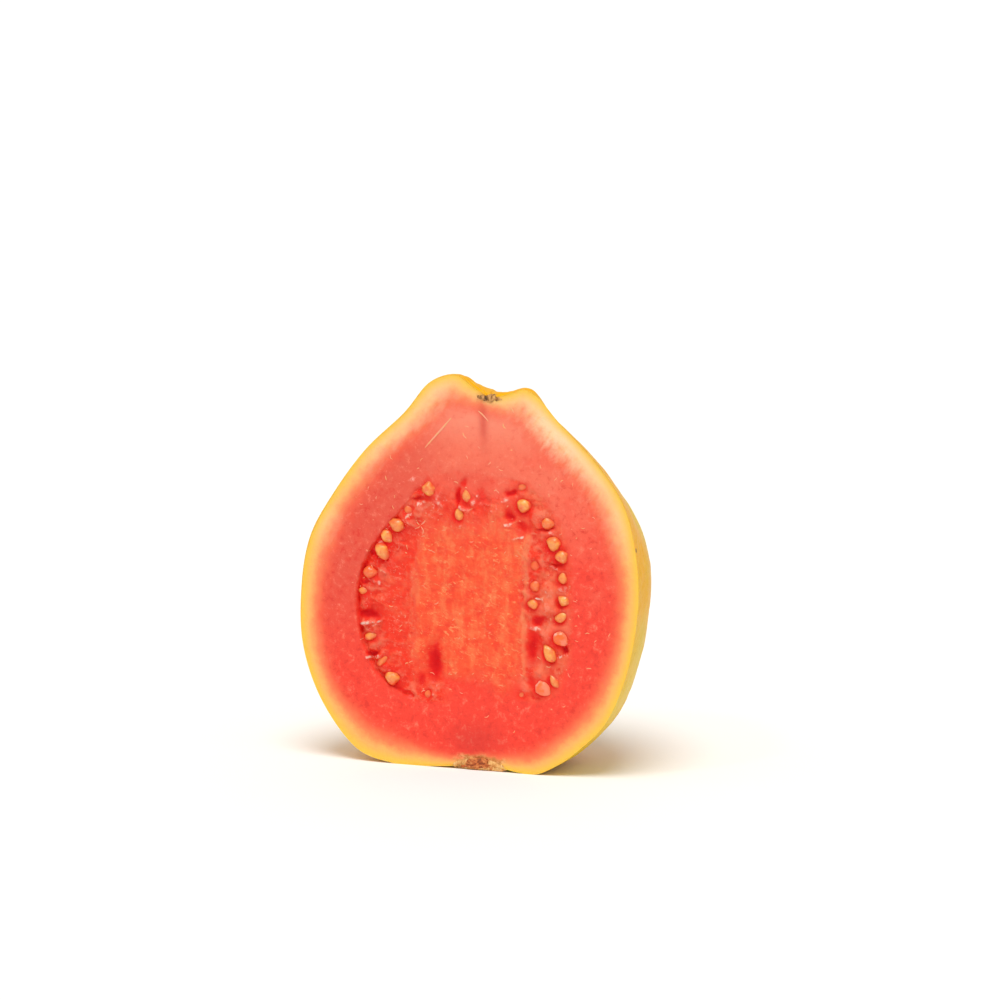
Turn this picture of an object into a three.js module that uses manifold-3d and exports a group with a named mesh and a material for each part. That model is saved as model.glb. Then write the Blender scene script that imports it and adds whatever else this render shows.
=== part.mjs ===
// Half a ripe pink guava, cut from stem to blossom end and stood on its blossom end.
// Millimetres, +Z up. The cut face looks along -Y, the yellow skin is behind it, and the fruit
// rests on a small flat spot of skin on Z = 0, behind the dried calyx and under its weight.
import * as THREE from "three";
import { mergeVertices } from "three/addons/utils/BufferGeometryUtils.js";
import Module from "manifold-3d";

const wasm = await Module();
wasm.setup();

// Driving dimensions. X is measured across the cut face from the calyx, and Z up from the table.
const STEM_LEAN = 0.022; // the axis leans this much across for each millimetre of height
const SKIN_AROUND = 64; // facets right round the whole fruit, of which the cut keeps half
const SKIN_UP = 42; // facets from calyx to stem scar
const AIR = 6; // how far the pulp's cutting tool reaches out of the cut face
const FRUIT_REACH = 60; // more than the fruit's radius
const FRUIT_TOP = 110; // more than the fruit's height

// The broad, shallow swellings of the skin, as [waves round the fruit, waves up it in radians,
// phase, height]. They fade out at the cut face, at the blossom end and at the stem.
const SWELLS = [
  [5, 3, 0, 0.55],
  [3, -9, 1, 0.4],
  [0, 13, 0, 0.28],
];
const SWELL_FROM = 0.22; // shares of the way from calyx to stem
const SWELL_TO = 0.96;

// The shoulder is flatter on the right, just behind the cut.
const FLAT_DEPTH = 3.3;
const FLAT_RISE = [0.5, 0.63]; // shares of the way from calyx to stem
const FLAT_FALL = [0.73, 0.86];
const FLAT_PEAK = 0.325; // the greatest value of sine times cubed cosine, which spreads it round

// Stations of the skin from the calyx up to the stem scar, as [radius, height], where the cut
// plane meets it on the right and on the left, and on the line right behind the axis.
const RIGHT = [
  [0, 2.0], [5.5, 0.8], [12.5, 0], [17.2, 1.8], [23, 5.9], [30.5, 14], [35.4, 27], [37.3, 41.5],
  [36.2, 54], [32.7, 64.9], [25.6, 74], [17, 82], [12.3, 87], [8.4, 88.8], [3.8, 87.2], [0, 86.5],
];
const LEFT = [
  [0, 2.0], [6, 0.7], [14.5, 0], [22, 0.2], [30.8, 3.2], [39.2, 13.5], [44, 26], [44.7, 39],
  [42.9, 51], [37.8, 61], [29.8, 72.3], [20.5, 81.5], [14.5, 88.9], [8.4, 91.2], [3.9, 88.8], [0, 86.5],
];
const BACK = [
  [0, 2.0], [6, 0.2], [14, -0.7], [24, -0.6], [31.2, 4], [37, 14.5], [40, 27], [40.6, 39.5],
  [38.6, 51.5], [34, 62], [26.8, 71.8], [19.2, 79.4], [13.4, 84.2], [8.4, 86.3], [3.8, 86.8], [0, 86.5],
];

// The edge of the firm outer flesh round the seeded pulp, as [across, up], counter-clockwise
// from the right as the cut face is seen.
const PULP_EDGE = [
  [21.9, 43], [20.4, 54], [15.5, 61.5], [11.3, 67.3], [4, 68.2], [-4.5, 68.8], [-12.7, 67.2],
  [-18.8, 60], [-25, 52.6], [-29.4, 44.5], [-30.1, 35.5], [-27.4, 24.8], [-20.5, 17],
  [-12.7, 14.8], [-2, 15.6], [8.6, 16.6], [17.4, 18.9], [21, 28],
];
const PULP_CENTRE = [-3.5, 41.5];
const PULP_AROUND = 100;
const PULP_RINGS = 24; // from the pulp's centre over its edge and back across the tool's front
const PULP_SINK = 0.7; // the soft pulp beside the core lies this far below the cut
const GAP_WIDTH = 2.4;
const GAP_LEFT = 2.6; // how deep the crack beside the flesh is on the left, where the pulp shrank
const GAP_LEFT_SPAN = [15, 26]; // where it opens, as distances from the axis
const GAP_RIGHT = 1.1;
const GAP_RIGHT_SPAN = [13, 19];
const RIM_LAP = 1.02; // the tool's front turns in a little past the pulp's edge
const CORE_LEFT = -16.5; // the firm core of the pulp stands a little above the seeded sides
const CORE_RIGHT = 9.5;
const CORE_EDGE = 4;
const CORE_HEIGHT = 0.35;

// Seeds as [across, up, length, width, turn, rise]: turn is the way the pointed end looks, in
// degrees counter-clockwise from the right, and rise is how far the seed's middle stands out of
// the cut plane. They follow the pulp's edge, in one row on the left and two on the right.
const SEEDS = [
  [-12.9, 64.3, 3.7, 3.3, 185, -0.7],
  [-17.9, 59.4, 2.9, 2.4, 130, -1.1],
  [-20.6, 55.5, 3.8, 3.0, 162, -0.5],
  [-23, 52.3, 3.6, 3.0, 145, -0.9],
  [-23.8, 48.9, 3.9, 3.2, 306, -0.4],
  [-27, 43.8, 3.7, 2.6, 0, -0.9],
  [-28.4, 39.6, 2.8, 2.0, 0, -1.3],
  [-27, 29.2, 3.5, 2.4, 20, -1.0],
  [-24.1, 23.6, 3.6, 1.9, 42, -1.0],
  [-21.8, 19.9, 3.9, 3.4, 262, -0.7],
  [-13.1, 17.4, 2.6, 2.0, 80, -1.1],
  [-3.5, 63.3, 3.2, 2.3, 92, -0.7],
  [-5.5, 58.9, 3.0, 2.3, 105, -0.6],
  [10.3, 62.1, 3.7, 3.2, 248, -0.7],
  [10.1, 66.4, 2.8, 2.3, 20, -1.1],
  [16.3, 58.3, 3.7, 2.7, 5, -0.8],
  [17.6, 53.8, 3.8, 3.3, 262, -0.7],
  [19.6, 50.7, 3.5, 3.1, 290, -0.7],
  [19.7, 46, 3.0, 2.4, 100, -0.7],
  [20, 40.8, 3.0, 2.5, 130, -0.7],
  [19.5, 37, 3.0, 2.4, 35, -0.7],
  [12.7, 48.2, 2.8, 2.2, 80, -1.1],
  [13.1, 43.6, 2.7, 2.3, 60, -0.8],
  [12.4, 39.4, 2.7, 2.2, 100, -0.7],
  [19.4, 32.3, 4.0, 3.6, 150, -0.5],
  [16.7, 28.2, 4.4, 2.8, 118, -0.4],
  [17.7, 21.9, 3.4, 1.8, 125, -0.7],
  [15.2, 20.3, 4.2, 3.8, 45, -0.6],
  [9.9, 18.3, 2.4, 2.0, 60, -1.2],
];
const SEED_THICK = 0.8; // a seed's thickness as a share of its width
const SEED = { taper: 0.3, around: 9, along: 7 }; // how much narrower the point is, and the facets
const POCKET_DEPTH = 1.1; // the least depth of the hollow round each seed
const POCKET_SPREAD = 1.5; // as a share of the seed's own half length
const ROOT_SPREAD = 0.75; // the pulp rises in the pocket to hold the seed, over this share of it
const ROOT_SINK = 0.3; // and reaches this share of the seed's thickness below its middle

// The dried stem scar in the notch, and the dried calyx in the dimple of the blossom end.
const SCAR_RADIUS = 3.1;
const SCAR_HEIGHT = 0.9;
const SCAR_SIDES = 22;
const SCAR_CRACKS = [
  [5, 0, 0.12], // waves round the rim, phase, and depth as a share of the radius
  [9, 1, 0.08],
];
const CALYX_RADIUS = 2.2;
const CALYX_TIP_RADIUS = 1.5;
const CALYX_FOOT = 0.35; // the calyx stays this far above the table
const CALYX_ROOT = 1; // and is sunk this far into the skin above it
const CALYX_SIDES = 14;
const SEPALS = 5;
const SEPAL = { length: 3.3, width: 1.5, thickness: 0.75, taper: 0.7, around: 10, along: 6 };

const FLESH = { color: "#f2604c", roughness: 0.35, metalness: 0 };

const NEARLY_ZERO = 1e-6;
const MERGE_WITHIN = 1e-4;

const clamp = THREE.MathUtils.clamp;
const smoothstep = THREE.MathUtils.smoothstep;

function spline(points) {
  return new THREE.SplineCurve(points.map(([r, z]) => new THREE.Vector2(r, z)));
}

const rightSkin = spline(RIGHT);
const leftSkin = spline(LEFT);
const backSkin = spline(BACK);

// A point of the whole fruit's skin: share runs from calyx to stem, azimuth from the right.
function skinPoint(share, azimuth) {
  const c = Math.cos(azimuth);
  const s = Math.sin(azimuth);
  const parts = [
    [rightSkin, Math.max(0, c) ** 2],
    [leftSkin, Math.max(0, -c) ** 2],
    [backSkin, s * s],
  ];
  const at = new THREE.Vector2();
  for (const [curve, weight] of parts) at.addScaledVector(curve.getPoint(share), weight);
  const along = clamp((share - SWELL_FROM) / (SWELL_TO - SWELL_FROM), 0, 1);
  const fade = Math.sin(Math.PI * along) * s * s;
  let radius = at.x;
  for (const [around, up, phase, height] of SWELLS) {
    radius += fade * height * Math.sin(around * azimuth + up * share + phase);
  }
  const spread = (s * Math.max(0, c) ** 3) / FLAT_PEAK;
  radius -= FLAT_DEPTH * spread * smoothstep(share, ...FLAT_RISE) * (1 - smoothstep(share, ...FLAT_FALL));
  return new THREE.Vector3(radius * c + STEM_LEAN * at.y, radius * s, at.y);
}

// Moves every vertex of a geometry to where place sends it.
function reshape(geometry, place) {
  const position = geometry.getAttribute("position");
  const v = new THREE.Vector3();
  for (let i = 0; i < position.count; i++) {
    v.fromBufferAttribute(position, i);
    position.setXYZ(i, ...place(v.clone()).toArray());
  }
  return geometry;
}

function toSolid(geometry) {
  const bare = geometry.clone();
  bare.deleteAttribute("normal");
  bare.deleteAttribute("uv");
  const merged = mergeVertices(bare, MERGE_WITHIN);
  return new wasm.Manifold(
    new wasm.Mesh({
      numProp: 3,
      vertProperties: new Float32Array(merged.getAttribute("position").array),
      triVerts: new Uint32Array(merged.index.array),
    }),
  );
}

function toGeometry(solid) {
  const mesh = solid.getMesh();
  const geometry = new THREE.BufferGeometry();
  geometry.setAttribute("position", new THREE.BufferAttribute(mesh.vertProperties, 3));
  geometry.setIndex(new THREE.BufferAttribute(mesh.triVerts, 1));
  geometry.computeVertexNormals();
  return geometry;
}

// The whole fruit: a ball whose parallels and meridians are moved to the skin.
function wholeFruit() {
  return toSolid(
    reshape(new THREE.SphereGeometry(1, SKIN_AROUND, SKIN_UP), (v) => {
      const share = 1 - Math.acos(clamp(v.y, -1, 1)) / Math.PI;
      return skinPoint(share, Math.atan2(-v.z, v.x));
    }),
  );
}

// Everything behind the cut plane and above the table.
function keptSpace() {
  const box = new THREE.BoxGeometry(2 * FRUIT_REACH, FRUIT_REACH, FRUIT_TOP);
  box.translate(0, FRUIT_REACH / 2, FRUIT_TOP / 2);
  return toSolid(box);
}

const pulpEdge = new THREE.CatmullRomCurve3(
  PULP_EDGE.map(([x, z]) => new THREE.Vector3(x, 0, z)),
  true,
  "catmullrom",
  0.5,
);

// How far the soft pulp lies below the cut, at a place on the face whose share of the way from
// the pulp's centre to its edge is known.
function pulpDepth(x, z, share, reach) {
  const fromEdge = (1 - share) * reach;
  const gap = GAP_LEFT * smoothstep(-x, ...GAP_LEFT_SPAN) + GAP_RIGHT * smoothstep(x, ...GAP_RIGHT_SPAN);
  const core =
    smoothstep(x, CORE_LEFT, CORE_LEFT + CORE_EDGE) *
    smoothstep(-x, -CORE_RIGHT, CORE_EDGE - CORE_RIGHT);
  let depth = PULP_SINK - CORE_HEIGHT * core + gap * bump(fromEdge, 0, GAP_WIDTH);
  for (const [sx, sz, length] of SEEDS) {
    const pocket = PULP_SINK + POCKET_DEPTH * bump(x - sx, z - sz, (POCKET_SPREAD * length) / 2);
    depth = Math.max(depth, pocket);
  }
  for (const [sx, sz, length, width, , rise] of SEEDS) {
    const root = bump(x - sx, z - sz, (ROOT_SPREAD * length) / 2);
    depth += root * (ROOT_SINK * SEED_THICK * width - rise - depth);
  }
  return depth;
}

// A round bump, one high at its middle.
function bump(across, up, spread) {
  return Math.exp(-(across * across + up * up) / spread ** 2);
}

// The tool that lowers the pulp: its back is the pulp's surface and its front is in the air.
function pulpTool() {
  return toSolid(
    reshape(new THREE.SphereGeometry(1, PULP_AROUND, PULP_RINGS), (v) => {
      const turn = (Math.atan2(v.z, v.x) / (2 * Math.PI) + 1) % 1;
      const edge = pulpEdge.getPoint(turn);
      const flat = Math.hypot(v.x, v.z);
      const inFlesh = v.y > -NEARLY_ZERO;
      const share = inFlesh ? flat : Math.min(1, RIM_LAP * flat);
      const x = PULP_CENTRE[0] + share * (edge.x - PULP_CENTRE[0]);
      const z = PULP_CENTRE[1] + share * (edge.z - PULP_CENTRE[1]);
      const reach = Math.hypot(edge.x - PULP_CENTRE[0], edge.z - PULP_CENTRE[1]);
      return new THREE.Vector3(x, inFlesh ? pulpDepth(x, z, share, reach) : -AIR, z);
    }),
  );
}

// An egg along X with its narrower end ahead, as wide as asked in Y and as thick in Z.
function egg({ length, width, thickness, taper, around, along }) {
  return reshape(new THREE.SphereGeometry(1, around, along), (v) => {
    const waist = (1 - (taper * (v.y + 1)) / 2) / 2;
    return new THREE.Vector3((v.y * length) / 2, v.z * waist * width, v.x * waist * thickness);
  });
}

// One seed, lying with its broad side to the cut face.
function seed([across, up, length, width, turn, rise]) {
  const body = egg({ ...SEED, length, width, thickness: SEED_THICK * width });
  body.rotateX(Math.PI / 2);
  body.rotateY(-THREE.MathUtils.degToRad(turn));
  body.translate(across, -rise, up);
  return toSolid(body);
}

// The stem scar: a low, cracked button on the floor of the notch.
function stemScar() {
  const [, floor] = RIGHT[RIGHT.length - 1];
  const blank = new THREE.CylinderGeometry(SCAR_RADIUS, SCAR_RADIUS, 2 * SCAR_HEIGHT, SCAR_SIDES, 1);
  const button = reshape(blank, (v) => {
    const azimuth = Math.atan2(-v.z, v.x);
    let reach = 1;
    for (const [waves, phase, depth] of SCAR_CRACKS) reach += depth * Math.sin(waves * azimuth + phase);
    return new THREE.Vector3(v.x * reach, -v.z * reach, v.y);
  });
  button.translate(STEM_LEAN * floor, 0, floor);
  return toSolid(button);
}

// The calyx: a dried button with its sepals pressed flat round it, clear of the table.
function calyx() {
  const [, roof] = RIGHT[0];
  const height = roof + CALYX_ROOT - CALYX_FOOT;
  const button = new THREE.CylinderGeometry(CALYX_RADIUS, CALYX_TIP_RADIUS, height, CALYX_SIDES, 1);
  button.rotateX(Math.PI / 2);
  button.translate(0, 0, CALYX_FOOT + height / 2);
  let made = toSolid(button);
  for (let i = 0; i < SEPALS; i++) {
    const sepal = egg(SEPAL);
    sepal.translate(CALYX_RADIUS + SEPAL.length / 4, 0, CALYX_FOOT + SEPAL.thickness);
    sepal.rotateZ(Math.PI / 2 + (2 * Math.PI * i) / SEPALS);
    made = made.add(toSolid(sepal));
  }
  return made;
}

// The solid without the small hollows that a seed and its pocket can seal.
function outerBody(solid) {
  return solid.decompose().reduce((most, body) => (body.volume() > most.volume() ? body : most));
}

function guavaHalf() {
  let fruit = wholeFruit().add(stemScar()).add(calyx());
  fruit = fruit.intersect(keptSpace()).subtract(pulpTool());
  for (const row of SEEDS) fruit = fruit.add(seed(row));
  const mesh = new THREE.Mesh(
    toGeometry(outerBody(fruit)),
    new THREE.MeshStandardMaterial(FLESH),
  );
  mesh.name = "guava_half";
  return mesh;
}

// The part's origin is the middle of the base of the fruit's box.
function onItsBase(mesh) {
  const box = new THREE.Box3().setFromBufferAttribute(mesh.geometry.getAttribute("position"));
  const middle = box.getCenter(new THREE.Vector3());
  mesh.position.set(-middle.x, -middle.y, -box.min.z);
  return mesh;
}

const guava = new THREE.Group();
guava.add(onItsBase(guavaHalf()));

export default guava;
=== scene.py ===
"""Half a ripe pink guava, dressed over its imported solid.

The half stands on its blossom end with the cut face towards -Y. Shapes are worked out in millimetres
in the fruit's own frame: across the cut face from the calyx, behind the cut, and up from the table.
"""

import logging
import math
from collections.abc import Callable, Sequence
from dataclasses import dataclass
from enum import Enum
from typing import Any

import bpy
import numpy as np
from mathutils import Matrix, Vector


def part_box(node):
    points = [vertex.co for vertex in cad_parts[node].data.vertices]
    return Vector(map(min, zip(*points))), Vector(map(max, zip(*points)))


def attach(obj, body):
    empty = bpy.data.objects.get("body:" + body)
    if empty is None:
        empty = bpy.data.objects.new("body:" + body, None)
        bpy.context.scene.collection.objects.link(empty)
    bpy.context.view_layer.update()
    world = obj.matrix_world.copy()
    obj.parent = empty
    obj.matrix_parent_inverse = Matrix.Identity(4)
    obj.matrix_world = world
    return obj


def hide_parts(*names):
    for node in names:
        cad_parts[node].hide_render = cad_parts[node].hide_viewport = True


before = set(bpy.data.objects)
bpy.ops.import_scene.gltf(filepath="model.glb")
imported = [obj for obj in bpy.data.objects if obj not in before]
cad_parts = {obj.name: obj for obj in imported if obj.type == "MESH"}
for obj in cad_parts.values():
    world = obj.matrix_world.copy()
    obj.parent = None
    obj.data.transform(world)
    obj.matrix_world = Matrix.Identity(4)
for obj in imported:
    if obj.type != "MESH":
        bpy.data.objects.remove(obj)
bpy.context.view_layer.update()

MM = 0.001
NODE = "guava_half"
BODY = "root"
FLAT = 1e-5  # how near the cut plane a point of a unit ball lies in it
log = logging.getLogger("guava")

Span = tuple[float, float]
Points = Sequence[tuple[float, float]]
Stops = Sequence[tuple[float, str]]
Colour = str | bpy.types.NodeSocket


def smooth(low: float, high: float, value: np.ndarray) -> np.ndarray:
    """A soft step from 0 at low to 1 at high."""
    t = np.clip((value - low) / (high - low), 0, 1)
    return t * t * (3 - 2 * t)


def turned(x: Any, z: Any, degrees: float) -> tuple[Any, Any]:
    """Turns places in a plane about its origin."""
    c, s = math.cos(math.radians(degrees)), math.sin(math.radians(degrees))
    return x * c - z * s, x * s + z * c


def curve_through(points: Points, share: np.ndarray, closed: bool = False) -> np.ndarray:
    """Follows a smooth curve through points, with an equal share of the way for each span.

    Args:
        points: The points that the curve passes through.
        share: How far along the curve, from 0 to 1.
        closed: Whether the last point leads back to the first.

    Returns:
        One point of the curve for each share.
    """
    table = np.array(points, float)
    count = len(table)
    spans = count if closed else count - 1
    place = np.clip(share, 0, 1) * spans
    first = np.minimum(place.astype(int), spans - 1)
    t = (place - first)[:, None]

    def point(index: np.ndarray) -> np.ndarray:
        """The points with these numbers, counted round or held at the ends."""
        return table[index % count if closed else np.clip(index, 0, count - 1)]

    before, here, there, after = (point(first + step) for step in (-1, 0, 1, 2))
    leave, arrive = (there - before) / 2, (after - here) / 2
    cubic = 2 * here - 2 * there + leave + arrive
    square = -3 * here + 3 * there - 2 * leave - arrive
    return cubic * t**3 + square * t**2 + leave * t + here


@dataclass(frozen=True)
class Grain:
    """Smooth, seeded unevenness over a plane, from -1 to 1."""

    seed: int
    pitch: tuple[float, float]
    side: int = 128

    def at(self, across: np.ndarray, up: np.ndarray) -> np.ndarray:
        """Reads the unevenness.

        Args:
            across: First coordinates, in millimetres.
            up: Second coordinates, in millimetres.

        Returns:
            One value for each place.
        """
        lattice = np.random.default_rng(self.seed).uniform(-1, 1, (self.side, self.side))
        a, b = across / self.pitch[0], up / self.pitch[1]
        i, j = np.floor(a).astype(int), np.floor(b).astype(int)
        s, t = smooth(0, 1, a - i), smooth(0, 1, b - j)

        def corner(di: int, dj: int) -> np.ndarray:
            """The lattice value at one corner of each cell."""
            return lattice[(i + di) % self.side, (j + dj) % self.side]

        near = corner(0, 0) * (1 - s) + corner(1, 0) * s
        far = corner(0, 1) * (1 - s) + corner(1, 1) * s
        return near * (1 - t) + far * t


@dataclass(frozen=True)
class SkinForm:
    """The outside of the whole fruit, which the cut halves.

    The three outlines are [radius, height] stations from calyx to stem, where the cut meets the
    skin on the right and on the left, and on the line right behind the axis.
    """

    right: Points = (
        (0, 2.0), (5.5, 0.8), (12.5, 0), (17.2, 1.8), (23, 5.9), (30.5, 14), (35.4, 27), (37.3, 41.5),
        (36.2, 54), (32.7, 64.9), (25.6, 74), (17, 82), (12.3, 87), (8.4, 88.8), (3.8, 87.2), (0, 86.5),
    )
    left: Points = (
        (0, 2.0), (6, 0.7), (14.5, 0), (22, 0.2), (30.8, 3.2), (39.2, 13.5), (44, 26), (44.7, 39),
        (42.9, 51), (37.8, 61), (29.8, 72.3), (20.5, 81.5), (14.5, 88.9), (8.4, 91.2), (3.9, 88.8), (0, 86.5),
    )
    back: Points = (
        (0, 2.0), (6, 0.2), (14, -0.7), (24, -0.6), (31.2, 4), (37, 14.5), (40, 27), (40.6, 39.5),
        (38.6, 51.5), (34, 62), (26.8, 71.8), (19.2, 79.4), (13.4, 84.2), (8.4, 86.3), (3.8, 86.8), (0, 86.5),
    )
    stem_lean: float = 0.022
    swells: Sequence[tuple[float, float, float, float]] = ((5, 3, 0, 0.55), (3, -9, 1, 0.4), (0, 13, 0, 0.28))
    swell_from: float = 0.22
    swell_to: float = 0.96
    flat_depth: float = 3.3
    flat_rise: tuple[float, float] = (0.5, 0.63)
    flat_fall: tuple[float, float] = (0.86, 0.73)
    flat_peak: float = 0.325

    def at(self, share: np.ndarray, azimuth: np.ndarray) -> np.ndarray:
        """Finds points of the skin.

        Args:
            share: The way from calyx to stem, from 0 to 1.
            azimuth: The turn round the axis from the right, in radians.

        Returns:
            Points [across, behind, up] in millimetres.
        """
        c, s = np.cos(azimuth), np.sin(azimuth)
        weights = (np.maximum(0, c) ** 2, np.maximum(0, -c) ** 2, s * s)
        outlines = (self.right, self.left, self.back)
        at = sum(w[:, None] * curve_through(o, share) for w, o in zip(weights, outlines))
        along = np.clip((share - self.swell_from) / (self.swell_to - self.swell_from), 0, 1)
        fade = np.sin(math.pi * along) * s * s
        radius = at[:, 0]
        for around, up, phase, height in self.swells:
            radius = radius + fade * height * np.sin(around * azimuth + up * share + phase)
        shoulder = smooth(*self.flat_rise, share) * smooth(*self.flat_fall, share)
        radius = radius - self.flat_depth * shoulder * s * np.maximum(0, c) ** 3 / self.flat_peak
        return np.stack((radius * c + self.stem_lean * at[:, 1], radius * s, np.maximum(at[:, 1], 0)), 1)


class SeedShape(Enum):
    """How a seed looks from the cut side."""

    EGG = "egg"
    SHIELD = "shield"
    ARIL = "aril"


@dataclass(frozen=True)
class Seed:
    """One seed in the cut face: turn is where its point looks, and veil how far gel reddens it."""

    across: float
    up: float
    length: float
    width: float
    turn: float
    shape: SeedShape = SeedShape.EGG
    veil: float = 0.0
    sunk: float = 0.75


@dataclass(frozen=True)
class Pit:
    """An oval hollow in the pulp. A high crisp gives it a flat floor and steep walls."""

    across: float
    up: float
    length: float
    width: float
    turn: float
    depth: float
    crisp: float = 1.6

    def share(self, across: np.ndarray, up: np.ndarray) -> np.ndarray:
        """How much of the hollow there is at each place, from 0 to 1."""
        x, z = turned(across - self.across, up - self.up, -self.turn)
        a, b = x / (self.length / 2), z / (self.width / 2)
        return np.exp(-((a * a + b * b) ** self.crisp))


@dataclass(frozen=True)
class Ledge:
    """A pale ridge of membrane along a short line; where it is palest, a painted highlight of wet light lies on
    it.
    """

    line: Points
    half: float
    height: float
    pale: float

    def share(self, across: np.ndarray, up: np.ndarray) -> np.ndarray:
        """How much of the ridge there is at each place, from 0 to 1."""
        nearest = np.full(len(across), np.inf)
        for (x0, z0), (x1, z1) in zip(self.line, self.line[1:]):
            dx, dz = x1 - x0, z1 - z0
            t = np.clip(((across - x0) * dx + (up - z0) * dz) / (dx * dx + dz * dz), 0, 1)
            nearest = np.minimum(nearest, np.hypot(across - x0 - t * dx, up - z0 - t * dz))
        return np.exp(-((nearest / (self.half * 1.15)) ** 2))


SEEDS = (
    Seed(-12.9, 64.3, 3.9, 3.4, 185, SeedShape.SHIELD),
    Seed(-17.9, 59.2, 2.7, 2.4, 120, veil=0.75, sunk=1.3),
    Seed(-20.6, 55.5, 3.9, 3.1, 157, sunk=0.5),
    Seed(-23.0, 52.5, 3.7, 2.9, 315, sunk=0.9),
    Seed(-23.9, 49.0, 4.3, 3.3, 306, sunk=0.4),
    Seed(-27.1, 44.0, 4.0, 2.8, 0, SeedShape.SHIELD, veil=0.55, sunk=0.7),
    Seed(-28.8, 39.5, 2.7, 1.7, 0, veil=0.45, sunk=1.1),
    Seed(-26.9, 29.2, 3.6, 2.0, 20, veil=0.3, sunk=0.9),
    Seed(-24.1, 23.7, 3.6, 1.8, 45, veil=0.65, sunk=0.9),
    Seed(-21.8, 19.8, 3.9, 3.5, 262, SeedShape.SHIELD, sunk=0.7),
    Seed(-13.1, 16.8, 2.4, 2.1, 80, veil=0.8, sunk=1.2),
    Seed(-3.6, 63.4, 3.5, 2.3, 95, sunk=0.8),
    Seed(-5.4, 59.0, 3.1, 2.4, 108, sunk=0.7),
    Seed(10.3, 62.0, 3.9, 3.5, 248, SeedShape.SHIELD, sunk=0.8),
    Seed(9.9, 66.3, 2.7, 2.0, 20, veil=0.7, sunk=1.1),
    Seed(16.2, 58.3, 3.7, 2.9, 5, SeedShape.SHIELD, veil=0.5, sunk=0.8),
    Seed(17.6, 53.7, 4.0, 3.6, 262, SeedShape.SHIELD, sunk=0.7),
    Seed(19.6, 50.8, 3.6, 3.3, 290, SeedShape.SHIELD, sunk=0.7),
    Seed(12.9, 48.4, 2.9, 2.6, 80, veil=0.9, sunk=1.2),
    Seed(19.8, 46.0, 2.9, 2.5, 95, veil=0.2, sunk=0.8),
    Seed(13.1, 43.7, 2.8, 2.5, 60, veil=0.65, sunk=0.8),
    Seed(19.9, 40.8, 3.1, 2.5, 150, sunk=0.7),
    Seed(12.4, 39.4, 3.0, 2.3, 170, veil=0.2, sunk=0.7),
    Seed(19.4, 36.9, 3.2, 2.4, 30, sunk=0.7),
    Seed(16.6, 28.3, 4.5, 2.9, 120, veil=0.1, sunk=0.4),
    Seed(17.7, 21.9, 3.5, 1.9, 125, sunk=0.6),
    Seed(9.7, 18.3, 2.4, 2.0, 60, veil=0.8, sunk=1.2),
    Seed(19.3, 31.9, 4.0, 3.4, 320, SeedShape.ARIL, sunk=0.7),
    Seed(15.1, 20.0, 4.1, 3.5, 330, SeedShape.ARIL, sunk=0.7),
)

MOUNDS = (
    Pit(16.5, 38.7, 3.6, 3.2, 70, 0.75),
    Pit(16.0, 32.9, 3.8, 3.1, 10, 0.75),
    Pit(-26.5, 27.2, 3.0, 2.0, 10, 0.8),
    Pit(-23.0, 22.0, 2.8, 2.0, 40, 0.6),
    Pit(-28.0, 36.6, 3.4, 2.4, 5, 0.6),
    Pit(-15.0, 60.0, 3.6, 2.4, 30, 0.4),
    Pit(-10.3, 62.6, 3.0, 2.6, 100, 0.35),
    Pit(-1.0, 59.6, 2.6, 2.2, 60, 0.4),
    Pit(4.2, 60.4, 3.0, 2.4, 20, 0.35),
    Pit(13.2, 59.6, 3.0, 2.2, -30, 0.45),
    Pit(16.2, 49.8, 2.6, 2.2, 30, 0.5),
    Pit(16.4, 43.8, 2.6, 3.0, 80, 0.45),
    Pit(-21.2, 46.0, 3.4, 2.6, 60, 0.4),
)

TORN = (
    Pit(-10.0, 60.5, 14, 9, 30, 1, 1),
    Pit(2.0, 61.5, 12, 7, 0, 1, 1),
    Pit(9.0, 57.0, 9, 5, 0, 0.8, 1),
    Pit(16.0, 40.0, 22, 6, 90, 0.8, 1),
    Pit(-22.5, 48.0, 12, 5, 70, 0.8, 1),
    Pit(-23.0, 27.0, 16, 5, 110, 0.7, 1),
)

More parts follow.
